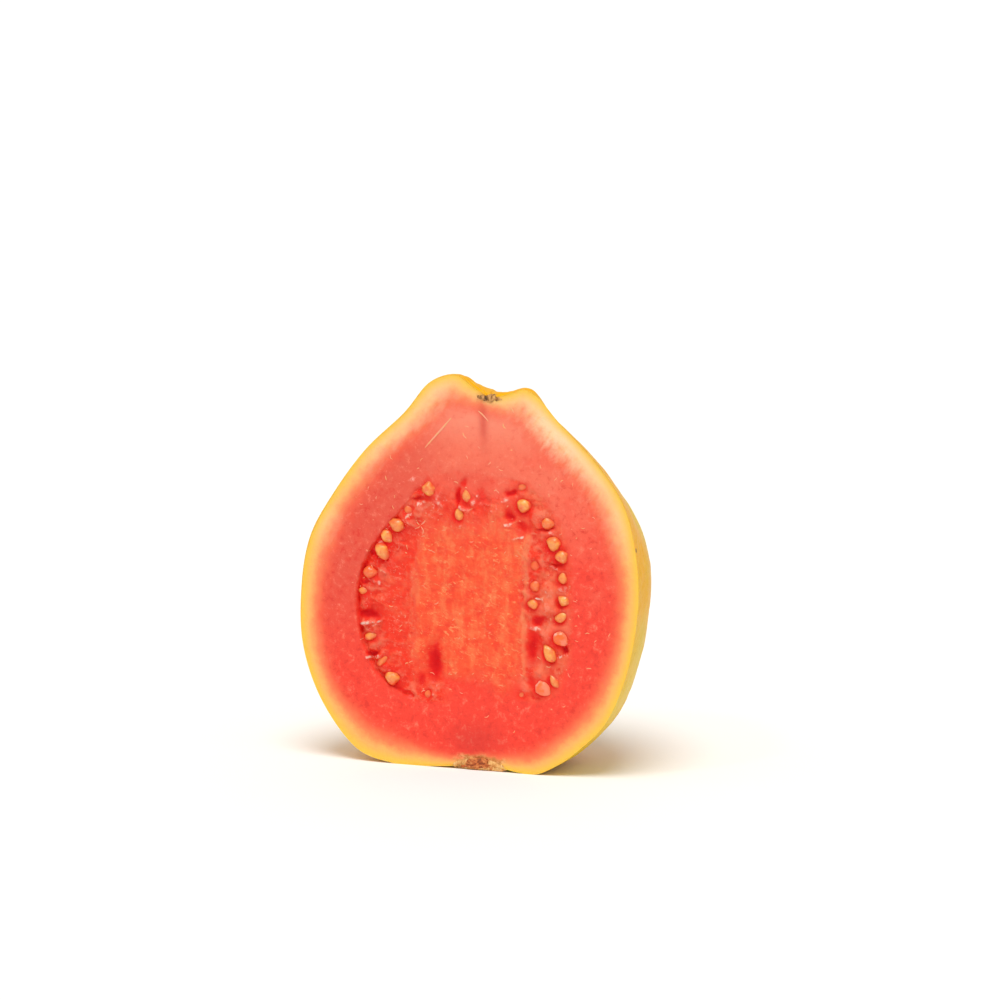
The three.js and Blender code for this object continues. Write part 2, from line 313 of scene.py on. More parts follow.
PITS = (
    Pit(-26.9, 48.3, 2.7, 2.0, 65, 2.4, 2),
    Pit(-29.0, 44.6, 5.2, 1.3, 65, 1.7, 2),
    Pit(-28.4, 41.9, 3.6, 1.0, 0, 1.8, 2),
    Pit(-28.0, 36.4, 5.4, 2.2, 0, 1.0),
    Pit(-28.2, 34.3, 7.6, 2.6, 3, 2.8, 1.3),
    Pit(-29.4, 31.0, 1.8, 1.1, 100, 1.8, 2),
    Pit(-26.6, 25.5, 3.8, 1.8, 10, 2.2, 2),
    Pit(-20.0, 17.3, 7.6, 1.2, -20, 1.5, 2),
    Pit(-11.4, 24.6, 9.5, 4.8, 84, 2.9, 1),
    Pit(-14.6, 20.0, 5.0, 2.4, 70, 1.5, 1),
    Pit(-13.1, 17.2, 3.4, 3.0, 0, 1.0),
    Pit(-15.6, 62.3, 4.0, 1.0, 18, 1.7, 2),
    Pit(-5.7, 62.9, 4.4, 1.8, 96, 2.0, 1.4),
    Pit(-4.4, 66.3, 3.4, 1.5, 60, 1.3, 1.2),
    Pit(-2.6, 60.9, 3.2, 1.2, -25, 1.3, 1.2),
    Pit(-9.8, 57.6, 5.0, 2.2, 40, 0.8, 1),
    Pit(0.4, 63.4, 6.4, 3.6, 80, 1.2, 1),
    Pit(-9.4, 60.0, 4.0, 2.4, 60, 0.8, 1),
    Pit(-7.0, 56.3, 1.4, 0.8, 40, 0.9),
    Pit(7.4, 65.0, 3.8, 1.9, 20, 1.9),
    Pit(7.1, 59.6, 3.6, 3.8, 0, 2.0, 1.2),
    Pit(9.9, 56.9, 4.4, 2.8, -10, 1.6, 1.2),
    Pit(15.6, 56.9, 4.6, 1.0, 3, 1.6, 2),
    Pit(18.5, 48.8, 4.4, 1.0, 8, 1.7, 2),
    Pit(18.7, 39.2, 2.6, 1.2, -40, 1.6),
    Pit(13.0, 41.1, 2.8, 0.8, 12, 1.1),
    Pit(14.1, 35.6, 4.2, 2.2, 15, 2.0, 1.3),
    Pit(12.0, 32.0, 4.0, 1.6, 80, 1.2, 1),
    Pit(20.1, 29.5, 2.8, 2.0, 80, 2.4, 2),
    Pit(12.6, 29.6, 11.0, 3.8, 86, 1.8, 1),
    Pit(12.4, 21.4, 6.0, 2.8, 100, 1.3, 1),
    Pit(13.0, 17.8, 3.0, 1.2, -20, 1.3),
)

# Several of these short lines are mostly painted highlights: their pale share is so high that the flesh paints
# a white-pink sparkle there.
LEDGES = (
    Ledge(((-15.9, 63.6), (-14.0, 63.3)), 0.35, 0.3, 0.5),
    Ledge(((-15.6, 61.1), (-14.0, 61.8)), 0.6, 0.4, 0.8),
    Ledge(((-17.5, 66.1), (-16.9, 66.4)), 0.55, 0.12, 0.9),
    Ledge(((-17.9, 57.8), (-16.9, 58.1)), 0.35, 0.25, 0.9),
    Ledge(((-22.8, 54.7), (-20.5, 53.3), (-20.1, 51.2), (-20.7, 49.2)), 0.32, 0.35, 0.45),
    Ledge(((-25.7, 51.3), (-24.1, 50.9)), 0.5, 0.5, 0.8),
    Ledge(((-27.0, 46.9), (-26.4, 46.8)), 0.4, 0.9, 0.6),
    Ledge(((-25.0, 46.4), (-23.6, 44.3)), 0.6, 0.45, 0.7),
    Ledge(((-27.2, 42.0), (-24.9, 41.5)), 0.35, 0.5, 0.8),
    Ledge(((-29.0, 32.0), (-26.8, 32.4), (-24.3, 33.2)), 0.34, 1.3, 1.0),
    Ledge(((-26.3, 31.3), (-24.6, 32.3)), 0.4, 0.6, 0.6),
    Ledge(((-27.8, 24.3), (-26.0, 24.6), (-24.2, 25.0)), 0.42, 1.0, 0.9),
    Ledge(((-28.0, 30.6), (-26.4, 31.0)), 0.3, 0.3, 0.6),
    Ledge(((-22.6, 21.3), (-21.4, 21.7)), 0.25, 0.2, 0.8),
    Ledge(((-4.9, 61.1), (-3.2, 60.6), (-1.6, 61.7), (-0.7, 63.6)), 0.42, 0.45, 0.65),
    Ledge(((-6.4, 56.2), (-5.2, 56.6)), 0.5, 0.3, 0.6),
    Ledge(((5.0, 62.7), (7.3, 63.3)), 0.55, 0.4, 0.8),
    Ledge(((6.0, 57.2), (7.7, 57.6)), 0.36, 0.4, 0.95),
    Ledge(((8.2, 54.5), (9.7, 55.1)), 0.32, 0.3, 0.95),
    Ledge(((16.3, 55.9), (17.8, 56.0)), 0.45, 0.3, 0.6),
    Ledge(((17.3, 47.9), (18.8, 48.1)), 0.45, 0.4, 0.6),
    Ledge(((18.7, 43.6), (20.0, 43.5)), 0.6, 0.4, 0.5),
    Ledge(((13.2, 40.6), (14.5, 40.3)), 0.26, 0.3, 0.95),
    Ledge(((12.1, 34.2), (14.1, 33.8)), 0.42, 0.5, 0.85),
    Ledge(((18.9, 27.9), (20.3, 28.1)), 0.4, 0.5, 0.9),
    Ledge(((-12.2, 15.9), (-10.8, 18.6)), 0.4, 0.3, 0.5),
    Ledge(((-19.2, 57.6), (-17.8, 56.4), (-17.2, 55.0)), 0.35, 0.25, 0.6),
)

BANDS = (
    Ledge(((10.9, 56.0), (10.6, 40.0), (10.4, 23.0)), 0.8, 0.35, 0.85),
    Ledge(((-16.4, 46.0), (-17.0, 40.0), (-16.6, 33.0), (-17.2, 24.0)), 1.1, 0.2, 0.5),
    Ledge(((2.6, 66.0), (3.0, 61.0), (2.7, 57.0)), 0.9, 0.2, 0.55),
    Ledge(((7.4, 55.0), (7.0, 46.0)), 1.0, 0.1, 0.5),
    Ledge(((-8.4, 57.0), (-8.8, 49.0)), 0.9, 0.1, 0.45),
)


@dataclass
class CutFace:
    """The relief of the cut: firm flesh, the sunken seeded pulp, and the core in its middle.

    A pocket, a ring and a shade lie about each seed: how far left and down of it, how long and wide
    as shares of the seed, and how crisp.
    """

    pulp_edge: Points = (
        (21.9, 43), (20.6, 54), (17.8, 60.5), (12.3, 66.3), (6, 68.2), (-4.5, 68.8), (-12.7, 67.2),
        (-18.8, 60), (-25, 52.6), (-29.4, 44.5), (-30.4, 35.5), (-27.9, 24.8), (-21.4, 17.2),
        (-12.7, 14.8), (-2, 15.6), (8.6, 16.6), (17.4, 18.9), (21.4, 28),
    )
    centre: tuple[float, float] = (-3.5, 41.5)
    sink: float = 0.4
    wall_left: float = 1.0
    wall_right: float = 0.12
    wall_width: float = 1.8
    wall_left_from: Span = (-14, -24)
    wall_right_from: Span = (13, 19)
    soft_edge: float = 1.2
    soft_from: Span = (8, 15)
    grown_top: Sequence[Span] = ((-17, -10), (12, 4), (60, 66))
    grown_foot: Sequence[Span] = ((-11, -6), (12, 7), (26, 17))
    grown_share: float = 0.85
    belt_reach: Span = (8, 4)
    belt_right_from: Span = (9, 12)
    warm_from: Span = (7, 13)
    crack_width: float = 0.9
    crack_shade: float = 0.7
    crack_across: Span = (-21, -26)
    crack_up: Span = (26, 31)
    shade_depth: Span = (0.9, 2.4)
    core_left: float = -16.2
    core_right: float = 10.2
    core_top: float = 64.0
    core_foot: float = 17.0
    pocket_depth: float = 0.6
    pocket: Sequence[float] = (0, 0.1, 1.1, 1.1, 1.8)
    ring: Sequence[float] = (0, 0.15, 1.6, 1.7, 1.3)
    shade: Sequence[float] = (0.25, 0.55, 1.3, 1.35, 2)
    pit_share: float = 0.5
    swell: float = 0.42
    fold_height: float = 0.32
    fold_pitch: float = 2.6
    wander: float = 0.55

    def edge_line(self, count: int = 480) -> np.ndarray:
        """Points round the edge of the pulp."""
        return curve_through(self.pulp_edge, np.arange(count) / count, closed=True)

    def inside(self, across: np.ndarray, up: np.ndarray) -> np.ndarray:
        """How far inside the pulp each place is, in millimetres, and negative outside it."""
        line = self.edge_line()
        distance = measure(across, up, line, np.zeros((len(line), 1)))[0]
        angle = np.arctan2(line[:, 1] - self.centre[1], line[:, 0] - self.centre[0])
        reach = np.hypot(line[:, 0] - self.centre[0], line[:, 1] - self.centre[1])
        order = np.argsort(angle)
        own = np.arctan2(up - self.centre[1], across - self.centre[0])
        limit = np.interp(own, angle[order], reach[order], period=2 * math.pi)
        here = np.hypot(across - self.centre[0], up - self.centre[1])
        return np.where(here < limit, distance, -distance)

    def shape(self, across: np.ndarray, up: np.ndarray) -> dict[str, np.ndarray]:
        """Works out the relief and the masks that colour it.

        Args:
            across: Places across the cut face, in millimetres.
            up: Their heights.

        Returns:
            The depth behind the cut in millimetres, under "depth", and a mask for each name.
        """
        inside = self.inside(across, up)
        pulp = self._pulp(across, up, inside)
        core = self._core(across, up)
        gel = pulp * (1 - core)
        wall = self.wall_left * smooth(*self.wall_left_from, across)
        wall = wall + self.wall_right * smooth(*self.wall_right_from, across)
        depth = pulp * (self.sink * (1 - 0.9 * core) + wall * np.exp(-((inside / self.wall_width) ** 2)))
        folds = self._folds(across, up) * gel
        belt = np.maximum(smooth(*self.belt_reach, inside), smooth(*self.belt_right_from, across)) * gel
        depth = depth - self.fold_height * (1 + belt) * (folds - 0.4)
        depth, halo, shadow = self._pockets(across, up, depth, pulp)
        drift, rise = self._stray(7, across, up), self._stray(9, across, up)
        depth, deep, pale = self._hollows(across, up, drift, rise, depth, inside)
        band = np.zeros_like(depth)
        for strip in BANDS:
            share = strip.share(across + 0.9 * drift, up)
            depth = depth - share * strip.height
            band = np.maximum(band, share * strip.pale)
        depth = depth + self._grain(across, up, pulp, core)
        # Painted shade: darker red along the crack by the left wall, under each seed, in the pits and wherever
        # the pulp lies further back.
        crack = self.crack_shade * np.exp(-((inside / self.crack_width) ** 2)) * pulp
        crack = crack * smooth(*self.crack_across, across) * smooth(*self.crack_up, up)
        low = 0.8 * smooth(*self.shade_depth, depth)
        deep = np.maximum.reduce((deep, crack, shadow * pulp, low))
        deep = np.clip(deep * (1 - 0.7 * pale), 0, 1)
        warm = smooth(*self.warm_from, across + drift)
        return {
            "depth": depth, "core": core, "deep": deep, "pale": pale, "gel": gel, "fold": folds,
            "halo": halo * gel, "warm": warm, "belt": belt, "band": band * pulp,
        }

    def _stray(self, seed: int, across: np.ndarray, up: np.ndarray) -> np.ndarray:
        """How far places are led astray, in millimetres, which makes round forms ragged."""
        wide, fine = Grain(seed, (2.4, 2.4)), Grain(seed + 1, (1.0, 1.0))
        return self.wander * wide.at(across, up) + 0.3 * fine.at(across, up)

    def _pulp(self, across: np.ndarray, up: np.ndarray, inside: np.ndarray) -> np.ndarray:
        """How far each place is sunken pulp, from 0 to 1: soft on the right, grown to the flesh at its ends."""
        soft = self.soft_edge * smooth(*self.soft_from, across)
        pulp = smooth(-0.2 - soft, 0.5 + soft, inside + 0.3 * Grain(3, (1.6, 1.6)).at(across, up))
        top, foot = (
            smooth(*left, across) * smooth(*right, across) * smooth(*end, up)
            for left, right, end in (self.grown_top, self.grown_foot)
        )
        return pulp * (1 - self.grown_share * np.maximum(top, foot))

    def _pockets(
        self, across: np.ndarray, up: np.ndarray, depth: np.ndarray, pulp: np.ndarray
    ) -> tuple[np.ndarray, np.ndarray, np.ndarray]:
        """Sinks a pocket for each seed in a soft swelling.

        Args:
            across: Places across the cut face.
            up: Their heights.
            depth: Their depth so far.
            pulp: How far each is pulp.

        Returns:
            The new depth, the rings round the seeds, and the shade under them.
        """
        halo, shadow = np.zeros_like(depth), np.zeros_like(depth)
        for seed in SEEDS:
            pocket, around, under = (
                self._about(seed, *oval).share(across, up) for oval in (self.pocket, self.ring, self.shade)
            )
            depth = depth - self.swell * pulp * around * (1 - pocket)
            depth = np.maximum(depth, pulp * pocket * (self.pocket_depth + 0.3 * seed.veil))
            halo = np.maximum(halo, around * (1 - 0.4 * seed.veil))
            shadow = np.maximum(shadow, under * (0.75 - 0.5 * seed.veil))
        return depth, halo, shadow

    def _about(self, seed: Seed, left: float, down: float, long: float, wide: float, crisp: float) -> Pit:
        """An oval about a seed, moved by millimetres and sized by shares of the seed."""
        across, up = seed.across - left, seed.up - down
        return Pit(across, up, seed.length * long, seed.width * wide, seed.turn, 1, crisp)

    def _hollows(
        self, across: np.ndarray, up: np.ndarray, drift: np.ndarray, rise: np.ndarray, depth: np.ndarray,
        inside: np.ndarray,
    ) -> tuple[np.ndarray, np.ndarray, np.ndarray]:
        """Adds the mounds, the pits, the torn gel and the ledges.

        Args:
            across: Places across the cut face.
            up: Their heights.
            drift: How far each is led astray across.
            rise: How far each is led astray upwards.
            depth: Their depth so far.
            inside: How far inside the pulp each is.

        Returns:
            The new depth, how much painted shade each place gets from the pits, and how pale.
        """
        x, z = across + drift, up + rise
        deep, pale = np.zeros_like(depth), np.zeros_like(depth)
        for mound in MOUNDS:
            share = mound.share(x, z)
            depth = depth - share * mound.depth
            pale = np.maximum(pale, 0.32 * share)
        for pit in PITS:
            share = pit.share(x, z) * smooth(-0.1, 0.35, inside)
            depth = depth + share * np.maximum(self.pit_share * pit.depth - depth, 0)
            # Painted shade, darker the further back the pit goes.
            deep = np.maximum(deep, share * min(1.0, pit.depth / 2.2))
        shreds = 1 - np.abs(Grain(28, (1.5, 0.8)).at(x, z + 0.5 * across)) * 2.2
        for zone in TORN:
            torn = zone.share(across, up) * np.clip(shreds, 0, 1) ** 2 * zone.depth
            depth = depth - 0.2 * torn
            pale = np.maximum(pale, 0.75 * torn * (1 - deep))
        for ledge in LEDGES:
            share = ledge.share(x, up + 1.2 * rise) * (0.75 + 0.5 * shreds.clip(-0.5, 1))
            depth = depth - 0.8 * share * ledge.height
            pale = np.maximum(pale, share * ledge.pale)
        return depth, deep, pale

    def _core(self, across: np.ndarray, up: np.ndarray) -> np.ndarray:
        """How far each place belongs to the soft orange core, from 0 to 1."""
        loose = smooth(42, 56, up)
        stray = across + (0.5 + 2.2 * loose) * Grain(5, (5, 9)).at(across, up)
        stray = stray + 0.7 * Grain(6, (1.4, 2)).at(across, up) - 2.5 * loose
        top = up + 3.0 * Grain(4, (5, 6)).at(across, up)
        sides = smooth(self.core_left - 1.4, self.core_left + 1.0, stray)
        sides = sides * smooth(self.core_right + 0.6, self.core_right - 0.7, stray + 2.5 * loose)
        ends = smooth(self.core_top, self.core_top - 11, top) * smooth(self.core_foot, self.core_foot + 9, top)
        return sides * ends

    def _folds(self, across: np.ndarray, up: np.ndarray) -> np.ndarray:
        """The soft folds of the gel, as a share of their height."""
        pitch = self.fold_pitch
        wide = 1 - np.abs(Grain(26, (pitch * 1.3, pitch)).at(across, up + 0.3 * across)) * 1.9
        fine = 1 - np.abs(Grain(27, (pitch * 0.6, pitch * 0.45)).at(across, up)) * 1.9
        return np.clip(0.65 * np.clip(wide, 0, 1) ** 2 + 0.45 * np.clip(fine, 0, 1) ** 2, 0, 1)

    def _grain(self, across: np.ndarray, up: np.ndarray, pulp: np.ndarray, core: np.ndarray) -> np.ndarray:
        """The fine unevenness: grit in the flesh, strands and crumbs in the core, lines in the gel."""
        grit = 0.045 * Grain(11, (0.9, 0.9)).at(across, up) + 0.035 * Grain(12, (2.1, 2.1)).at(across, up)
        slow = 0.14 * Grain(13, (11, 14)).at(across, up)
        strands = 0.14 * Grain(14, (1.7, 11)).at(across, up) + 0.09 * Grain(15, (0.9, 4)).at(across, up)
        crumbs = 0.16 * np.abs(Grain(16, (1.2, 0.9)).at(across, up))
        crumbs = crumbs + 0.12 * Grain(17, (2.4, 1.8)).at(across, up)
        lean = up - 0.35 * across
        lines = 0.08 * Grain(18, (6, 0.9)).at(across, lean) + 0.1 * Grain(19, (1.4, 1.2)).at(across, up)
        return (grit + slow) * (1 - pulp) + core * (strands - crumbs) + pulp * (1 - core) * lines


def measure(
    across: np.ndarray, up: np.ndarray, line: np.ndarray, values: np.ndarray, block: int = 4000
) -> tuple[np.ndarray, np.ndarray]:
    """Measures from a line's closely set points.

    Args:
        across: Places, first coordinate.
        up: Places, second coordinate.
        line: The line's points, as rows of two.
        values: Rows of numbers for the line's points.
        block: How many places are measured at once.

    Returns:
        The distance to the nearest point, and the numbers there, the near points' evened out.
    """
    found, own = np.empty(len(across)), np.empty((len(across), values.shape[1]))
    for start in range(0, len(across), block):
        part = slice(start, start + block)
        square = (across[part, None] - line[None, :, 0]) ** 2 + (up[part, None] - line[None, :, 1]) ** 2
        found[part] = np.sqrt(square.min(1))
        weight = 1 / (square + 0.5) ** 3
        own[part] = weight @ values / weight.sum(1)[:, None]
    return found, own


@dataclass(frozen=True)
class Place:
    """Where the fruit's own frame lies in the shared frame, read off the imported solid's box."""

    shift: tuple[float, float, float]

    @classmethod
    def from_frame(cls, form: SkinForm) -> "Place":
        """Lines the skin's right-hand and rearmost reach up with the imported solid's box."""
        _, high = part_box(NODE)
        share, azimuth = np.meshgrid(np.linspace(0, 1, 181), np.linspace(0, math.pi, 181))
        skin = form.at(share.ravel(), azimuth.ravel())
        return cls((high.x / MM - skin[:, 0].max(), high.y / MM - skin[:, 1].max(), 0.0))

    def world(self, points: np.ndarray) -> np.ndarray:
        """Turns points of the fruit's own frame, in millimetres, into metres in the shared frame."""
        return (points + np.array(self.shift)) * MM


def deselect() -> None:
    """Leaves object mode with nothing selected."""
    if bpy.context.object and bpy.context.object.mode != "OBJECT":
        bpy.ops.object.mode_set(mode="OBJECT")
    bpy.ops.object.select_all(action="DESELECT")


def only(piece: bpy.types.Object) -> None:
    """Selects one object and makes it the active one."""
    deselect()
    piece.select_set(True)
    bpy.context.view_layer.objects.active = piece


def named_primitive(name: str, add: Callable[..., Any], **settings: Any) -> bpy.types.Object:
    """Adds a primitive with nothing else selected, and names it and its mesh."""
    deselect()
    add(**settings)
    piece = bpy.context.object
    piece.name = piece.data.name = name
    return piece


def named_ball(name: str, around: int, up: int) -> bpy.types.Object:
    """Adds a unit ball with so many segments round and up it."""
    add = bpy.ops.mesh.primitive_uv_sphere_add
    return named_primitive(name, add, segments=around, ring_count=up, radius=1.0)


def copy_of(blank: bpy.types.Object, name: str) -> bpy.types.Object:
    """Copies a primitive, with a mesh of its own."""
    copy = bpy.data.objects.new(name, blank.data.copy())
    bpy.context.collection.objects.link(copy)
    return copy


def face_outwards(piece: bpy.types.Object) -> None:
    """Turns every face of a closed mesh outwards."""
    only(piece)
    bpy.ops.object.mode_set(mode="EDIT")
    bpy.ops.mesh.select_all(action="SELECT")
    bpy.ops.mesh.normals_make_consistent(inside=False)
    bpy.ops.object.mode_set(mode="OBJECT")


def read_points(piece: bpy.types.Object) -> np.ndarray:
    """The places of a mesh's vertices, as rows of three."""
    points = np.empty(len(piece.data.vertices) * 3)
    piece.data.vertices.foreach_get("co", points)
    return points.reshape(-1, 3)


def write_points(piece: bpy.types.Object, points: np.ndarray) -> None:
    """Moves a mesh's vertices."""
    piece.data.vertices.foreach_set("co", points.astype(np.float32).ravel())
    piece.data.update()


def write_mask(piece: bpy.types.Object, name: str, values: np.ndarray) -> None:
    """Keeps one number for each vertex, for the piece's material to read."""
    mask = piece.data.attributes.get(name) or piece.data.attributes.new(name, "FLOAT", "POINT")
    mask.data.foreach_set("value", values.astype(np.float32))


def join(pieces: Sequence[bpy.types.Object], name: str) -> bpy.types.Object:
    """Joins objects into one piece, and returns it."""
    only(pieces[0])
    for piece in pieces:
        piece.select_set(True)
    bpy.ops.object.join()
    made = bpy.context.object
    made.name = made.data.name = name
    return made


def halve(piece: bpy.types.Object) -> None:
    """Keeps the half of a ball behind the cut plane, and closes it there."""
    only(piece)
    bpy.ops.object.mode_set(mode="EDIT")
    bpy.ops.mesh.select_all(action="SELECT")
    bpy.ops.mesh.bisect(plane_co=(0, 0, 0), plane_no=(0, 1, 0), clear_inner=True, use_fill=True, threshold=FLAT)
    bpy.ops.object.mode_set(mode="OBJECT")
    face_outwards(piece)


def keep(piece: bpy.types.Object) -> bpy.types.Object:
    """Smooths a finished piece and lets it ride with the fruit."""
    only(piece)
    bpy.ops.object.shade_smooth()
    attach(piece, BODY)
    return piece


def linear(colour: str) -> tuple[float, float, float, float]:
    """Turns a written colour such as "#f15341" into the light values that shaders work in."""
    shares = [int(colour[i : i + 2], 16) / 255 for i in (1, 3, 5)]
    light = [s / 12.92 if s <= 0.04045 else ((s + 0.055) / 1.055) ** 2.4 for s in shares]
    return (light[0], light[1], light[2], 1.0)


class Wire:
    """A socket that carries a number, for use in expressions."""

    def __init__(self, paint: "Paint", socket: bpy.types.NodeSocket) -> None:
        """Wraps one output socket of a material's nodes."""
        self.paint = paint
        self.socket = socket

    def __add__(self, other: Any) -> "Wire":
        """self + other."""
        return self.paint.math("ADD", self, other)

    __radd__ = __add__

    def __sub__(self, other: Any) -> "Wire":
        """self - other."""
        return self.paint.math("SUBTRACT", self, other)

    def __rsub__(self, other: Any) -> "Wire":
        """other - self."""
        return self.paint.math("SUBTRACT", other, self)

    def __mul__(self, other: Any) -> "Wire":
        """self * other."""
        return self.paint.math("MULTIPLY", self, other)

    __rmul__ = __mul__


class Paint:
    """One material and the nodes that make it."""

    def __init__(self, name: str) -> None:
        """Starts an empty material."""
        self.material = bpy.data.materials.new(name)
        self.material.use_nodes = True
        self.tree = self.material.node_tree
        self.tree.nodes.clear()

    def node(self, kind: str, settings: dict[str, Any] | None = None, **sockets: Any) -> bpy.types.Node:
        """Adds a node.

        Args:
            kind: The node's type, such as "ShaderNodeBump".
            settings: Its properties, set before its sockets; "stops" fills a colour ramp.
            sockets: A value or a link for each input, named as in Blender with _ for a space.

        Returns:
            The node.
        """
        made = self.tree.nodes.new(kind)
        for name, value in (settings or {}).items():
            if name == "stops":
                self._fill_ramp(made.color_ramp, value)
            else:
                setattr(made, name, value)
        for name, value in sockets.items():
            label = name.replace("_", " ")
            self._feed(next(s for s in made.inputs if s.name == label and s.enabled), value)
        return made

    def _fill_ramp(self, ramp: bpy.types.ColorRamp, stops: Stops) -> None:
        """Sets a colour ramp's stops."""
        while len(ramp.elements) < len(stops):
            ramp.elements.new(0.5)
        for element, (place, colour) in zip(ramp.elements, stops):
            element.position = place
            element.color = linear(colour)

    def _feed(self, socket: bpy.types.NodeSocket, value: Any) -> None:
        """Links one input to a wire or a socket, or sets it to a number, a vector or a written colour."""
        if isinstance(value, Wire):
            self.tree.links.new(value.socket, socket)
        elif isinstance(value, bpy.types.NodeSocket):
            self.tree.links.new(value, socket)
        else:
            socket.default_value = linear(value) if isinstance(value, str) else value

    def out(self, node: bpy.types.Node, name: str | None = None) -> bpy.types.NodeSocket:
        """A node's output, by name or the first in use."""
        return next(s for s in node.outputs if s.enabled and name in (None, s.name))

    def math(self, operation: str, first: Any, second: Any) -> Wire:
        """Adds a Math node on two numbers or wires."""
        made = self.tree.nodes.new("ShaderNodeMath")
        made.operation = operation
        for socket, value in zip(made.inputs, (first, second)):
            self._feed(socket, value)
        return Wire(self, made.outputs[0])

    def step(self, value: Wire, low: float, high: float, share: float = 1.0) -> Wire:
        """A soft step of a wire, from 0 at low to the share at high."""
        settings = {"interpolation_type": "SMOOTHSTEP"}
        made = self.node("ShaderNodeMapRange", settings, Value=value, From_Min=low, From_Max=high, To_Max=share)
        return Wire(self, self.out(made))

    def mask(self, name: str) -> Wire:
        """One of the masks kept on the mesh."""
        return Wire(self, self.out(self.node("ShaderNodeAttribute", {"attribute_name": name}), "Fac"))

    def place(self, squeeze: Sequence[float] = (1, 1, 1), turn: float = 0.0) -> bpy.types.NodeSocket:
        """The place on the object, squeezed along axes that are turned in the cut plane by degrees."""
        where = self.out(self.node("ShaderNodeTexCoord"), "Object")
        mapping = self.node(
            "ShaderNodeMapping", {"vector_type": "TEXTURE"}, Vector=where,
            Scale=tuple(1 / share for share in squeeze), Rotation=(0.0, math.radians(turn), 0.0),
        )
        return self.out(mapping)

    def noise(
        self, per_mm: float, detail: float = 2, rough: float = 0.5, swirl: float = 0, **place: Any
    ) -> Wire:
        """Cloudy noise.

        Args:
            per_mm: How many clouds there are to the millimetre.
            detail: How often finer clouds are added.
            rough: How strong the finer clouds are.
            swirl: How far the clouds are stirred.
            place: A squeeze and a turn of the whole pattern.

        Returns:
            The noise, which keeps near 0.5.
        """
        made = self.node(
            "ShaderNodeTexNoise", Vector=self.place(**place), Scale=per_mm / MM, Detail=detail, Roughness=rough,
            Distortion=swirl,
        )
        return Wire(self, self.out(made, "Fac"))

    def cells(self, per_mm: float) -> Wire:
        """The distance to the nearest of many scattered points."""
        made = self.node("ShaderNodeTexVoronoi", Vector=self.place(), Scale=per_mm / MM)
        return Wire(self, self.out(made, "Distance"))

    def ramp(self, value: Wire, stops: Stops) -> bpy.types.NodeSocket:
        """Colours a wire by a ramp."""
        return self.out(self.node("ShaderNodeValToRGB", {"stops": stops}, Fac=value), "Color")

    def layers(self, base: Colour, *coats: tuple[Wire, Colour]) -> bpy.types.NodeSocket:
        """Lays colours over a base, one after another.

        Args:
            base: The lowest colour, written or linked.
            coats: How much of each next colour there is, and the colour.

        Returns:
            The colour that shows.
        """
        for factor, colour in coats:
            base = self.out(self.node("ShaderNodeMix", {"data_type": "RGBA"}, Factor=factor, A=base, B=colour))
        return base

    def bump(self, height: Wire, strength: float, distance_mm: float) -> bpy.types.NodeSocket:
        """Fine relief in the shading from a wire."""
        made = self.node("ShaderNodeBump", Height=height, Strength=strength, Distance=distance_mm * MM)
        return self.out(made)

    def finish(
        self, glow: float = 0.0, reach_mm: float = 1.2, glow_tint: Sequence[float] = (1, 1, 1), **sockets: Any
    ) -> bpy.types.Material:
        """Ends the material in a Principled BSDF.

        Args:
            glow: How much light goes in and comes out again.
            reach_mm: How far that light goes.
            glow_tint: How far each of its red, green and blue goes, as a share of the reach.
            sockets: The surface's other values and links.

        Returns:
            The material.
        """
        if glow:
            sockets.update(Subsurface_Weight=glow, Subsurface_Radius=glow_tint, Subsurface_Scale=reach_mm * MM)
        surface = self.node("ShaderNodeBsdfPrincipled", **sockets)
        self.node("ShaderNodeOutputMaterial", Surface=self.out(surface))
        return self.material


@dataclass(frozen=True)
class SkinFinish:
    """Thin ripe skin: golden with greenish and ochre clouds, fine pores and brown freckles."""

    yellow: str = "#f4b002"
    ochre: str = "#f0a008"
    green: str = "#dec614"
    pale: str = "#fbd034"
    pore: str = "#cf9414"
    freckle: str = "#8a5a20"

    def make(self) -> bpy.types.Material:
        """Builds the material."""
        paint = Paint("guava_skin")
        fine = paint.noise(0.7, 5, 0.7)
        pitted = paint.step(paint.cells(0.75), 0.22, 0.1)
        scuffs = paint.noise(0.35, 6, 0.75, squeeze=(1, 1, 0.3), turn=30)
        colour = paint.layers(
            self.yellow,
            (paint.step(paint.noise(0.035, 4, 0.55), 0.46, 0.7, 0.7), self.ochre),
            (paint.step(paint.noise(0.028, 3, 0.55, squeeze=(1, 1, 0.6)), 0.44, 0.66, 0.8), self.green),
            (paint.step(fine, 0.5, 0.75, 0.5), self.pale),
            (pitted * 0.45, self.pore),
            (self._freckles(paint, 0.16, 0.12, 0.5) * 0.85, self.freckle),
            (self._freckles(paint, 0.4, 0.13, 0.56) * 0.7, self.freckle),
            (paint.step(scuffs, 0.64, 0.74, 0.45), self.freckle),
        )
        dimples = paint.noise(0.16, 3)
        return paint.finish(
            0.1, glow_tint=(1.0, 0.6, 0.2), Base_Color=colour, Roughness=0.44 - fine * 0.1,
            Normal=paint.bump(dimples * 2.2 + fine * 0.25 - pitted * 0.25, 0.6, 0.5), Specular_IOR_Level=0.14,
        )

    def _freckles(self, paint: Paint, per_mm: float, size: float, rare: float) -> Wire:
        """Small spots that gather in some places."""
        gathered = paint.step(paint.noise(0.07), rare, rare + 0.08)
        return paint.step(paint.cells(per_mm), size, size * 0.3) * gathered


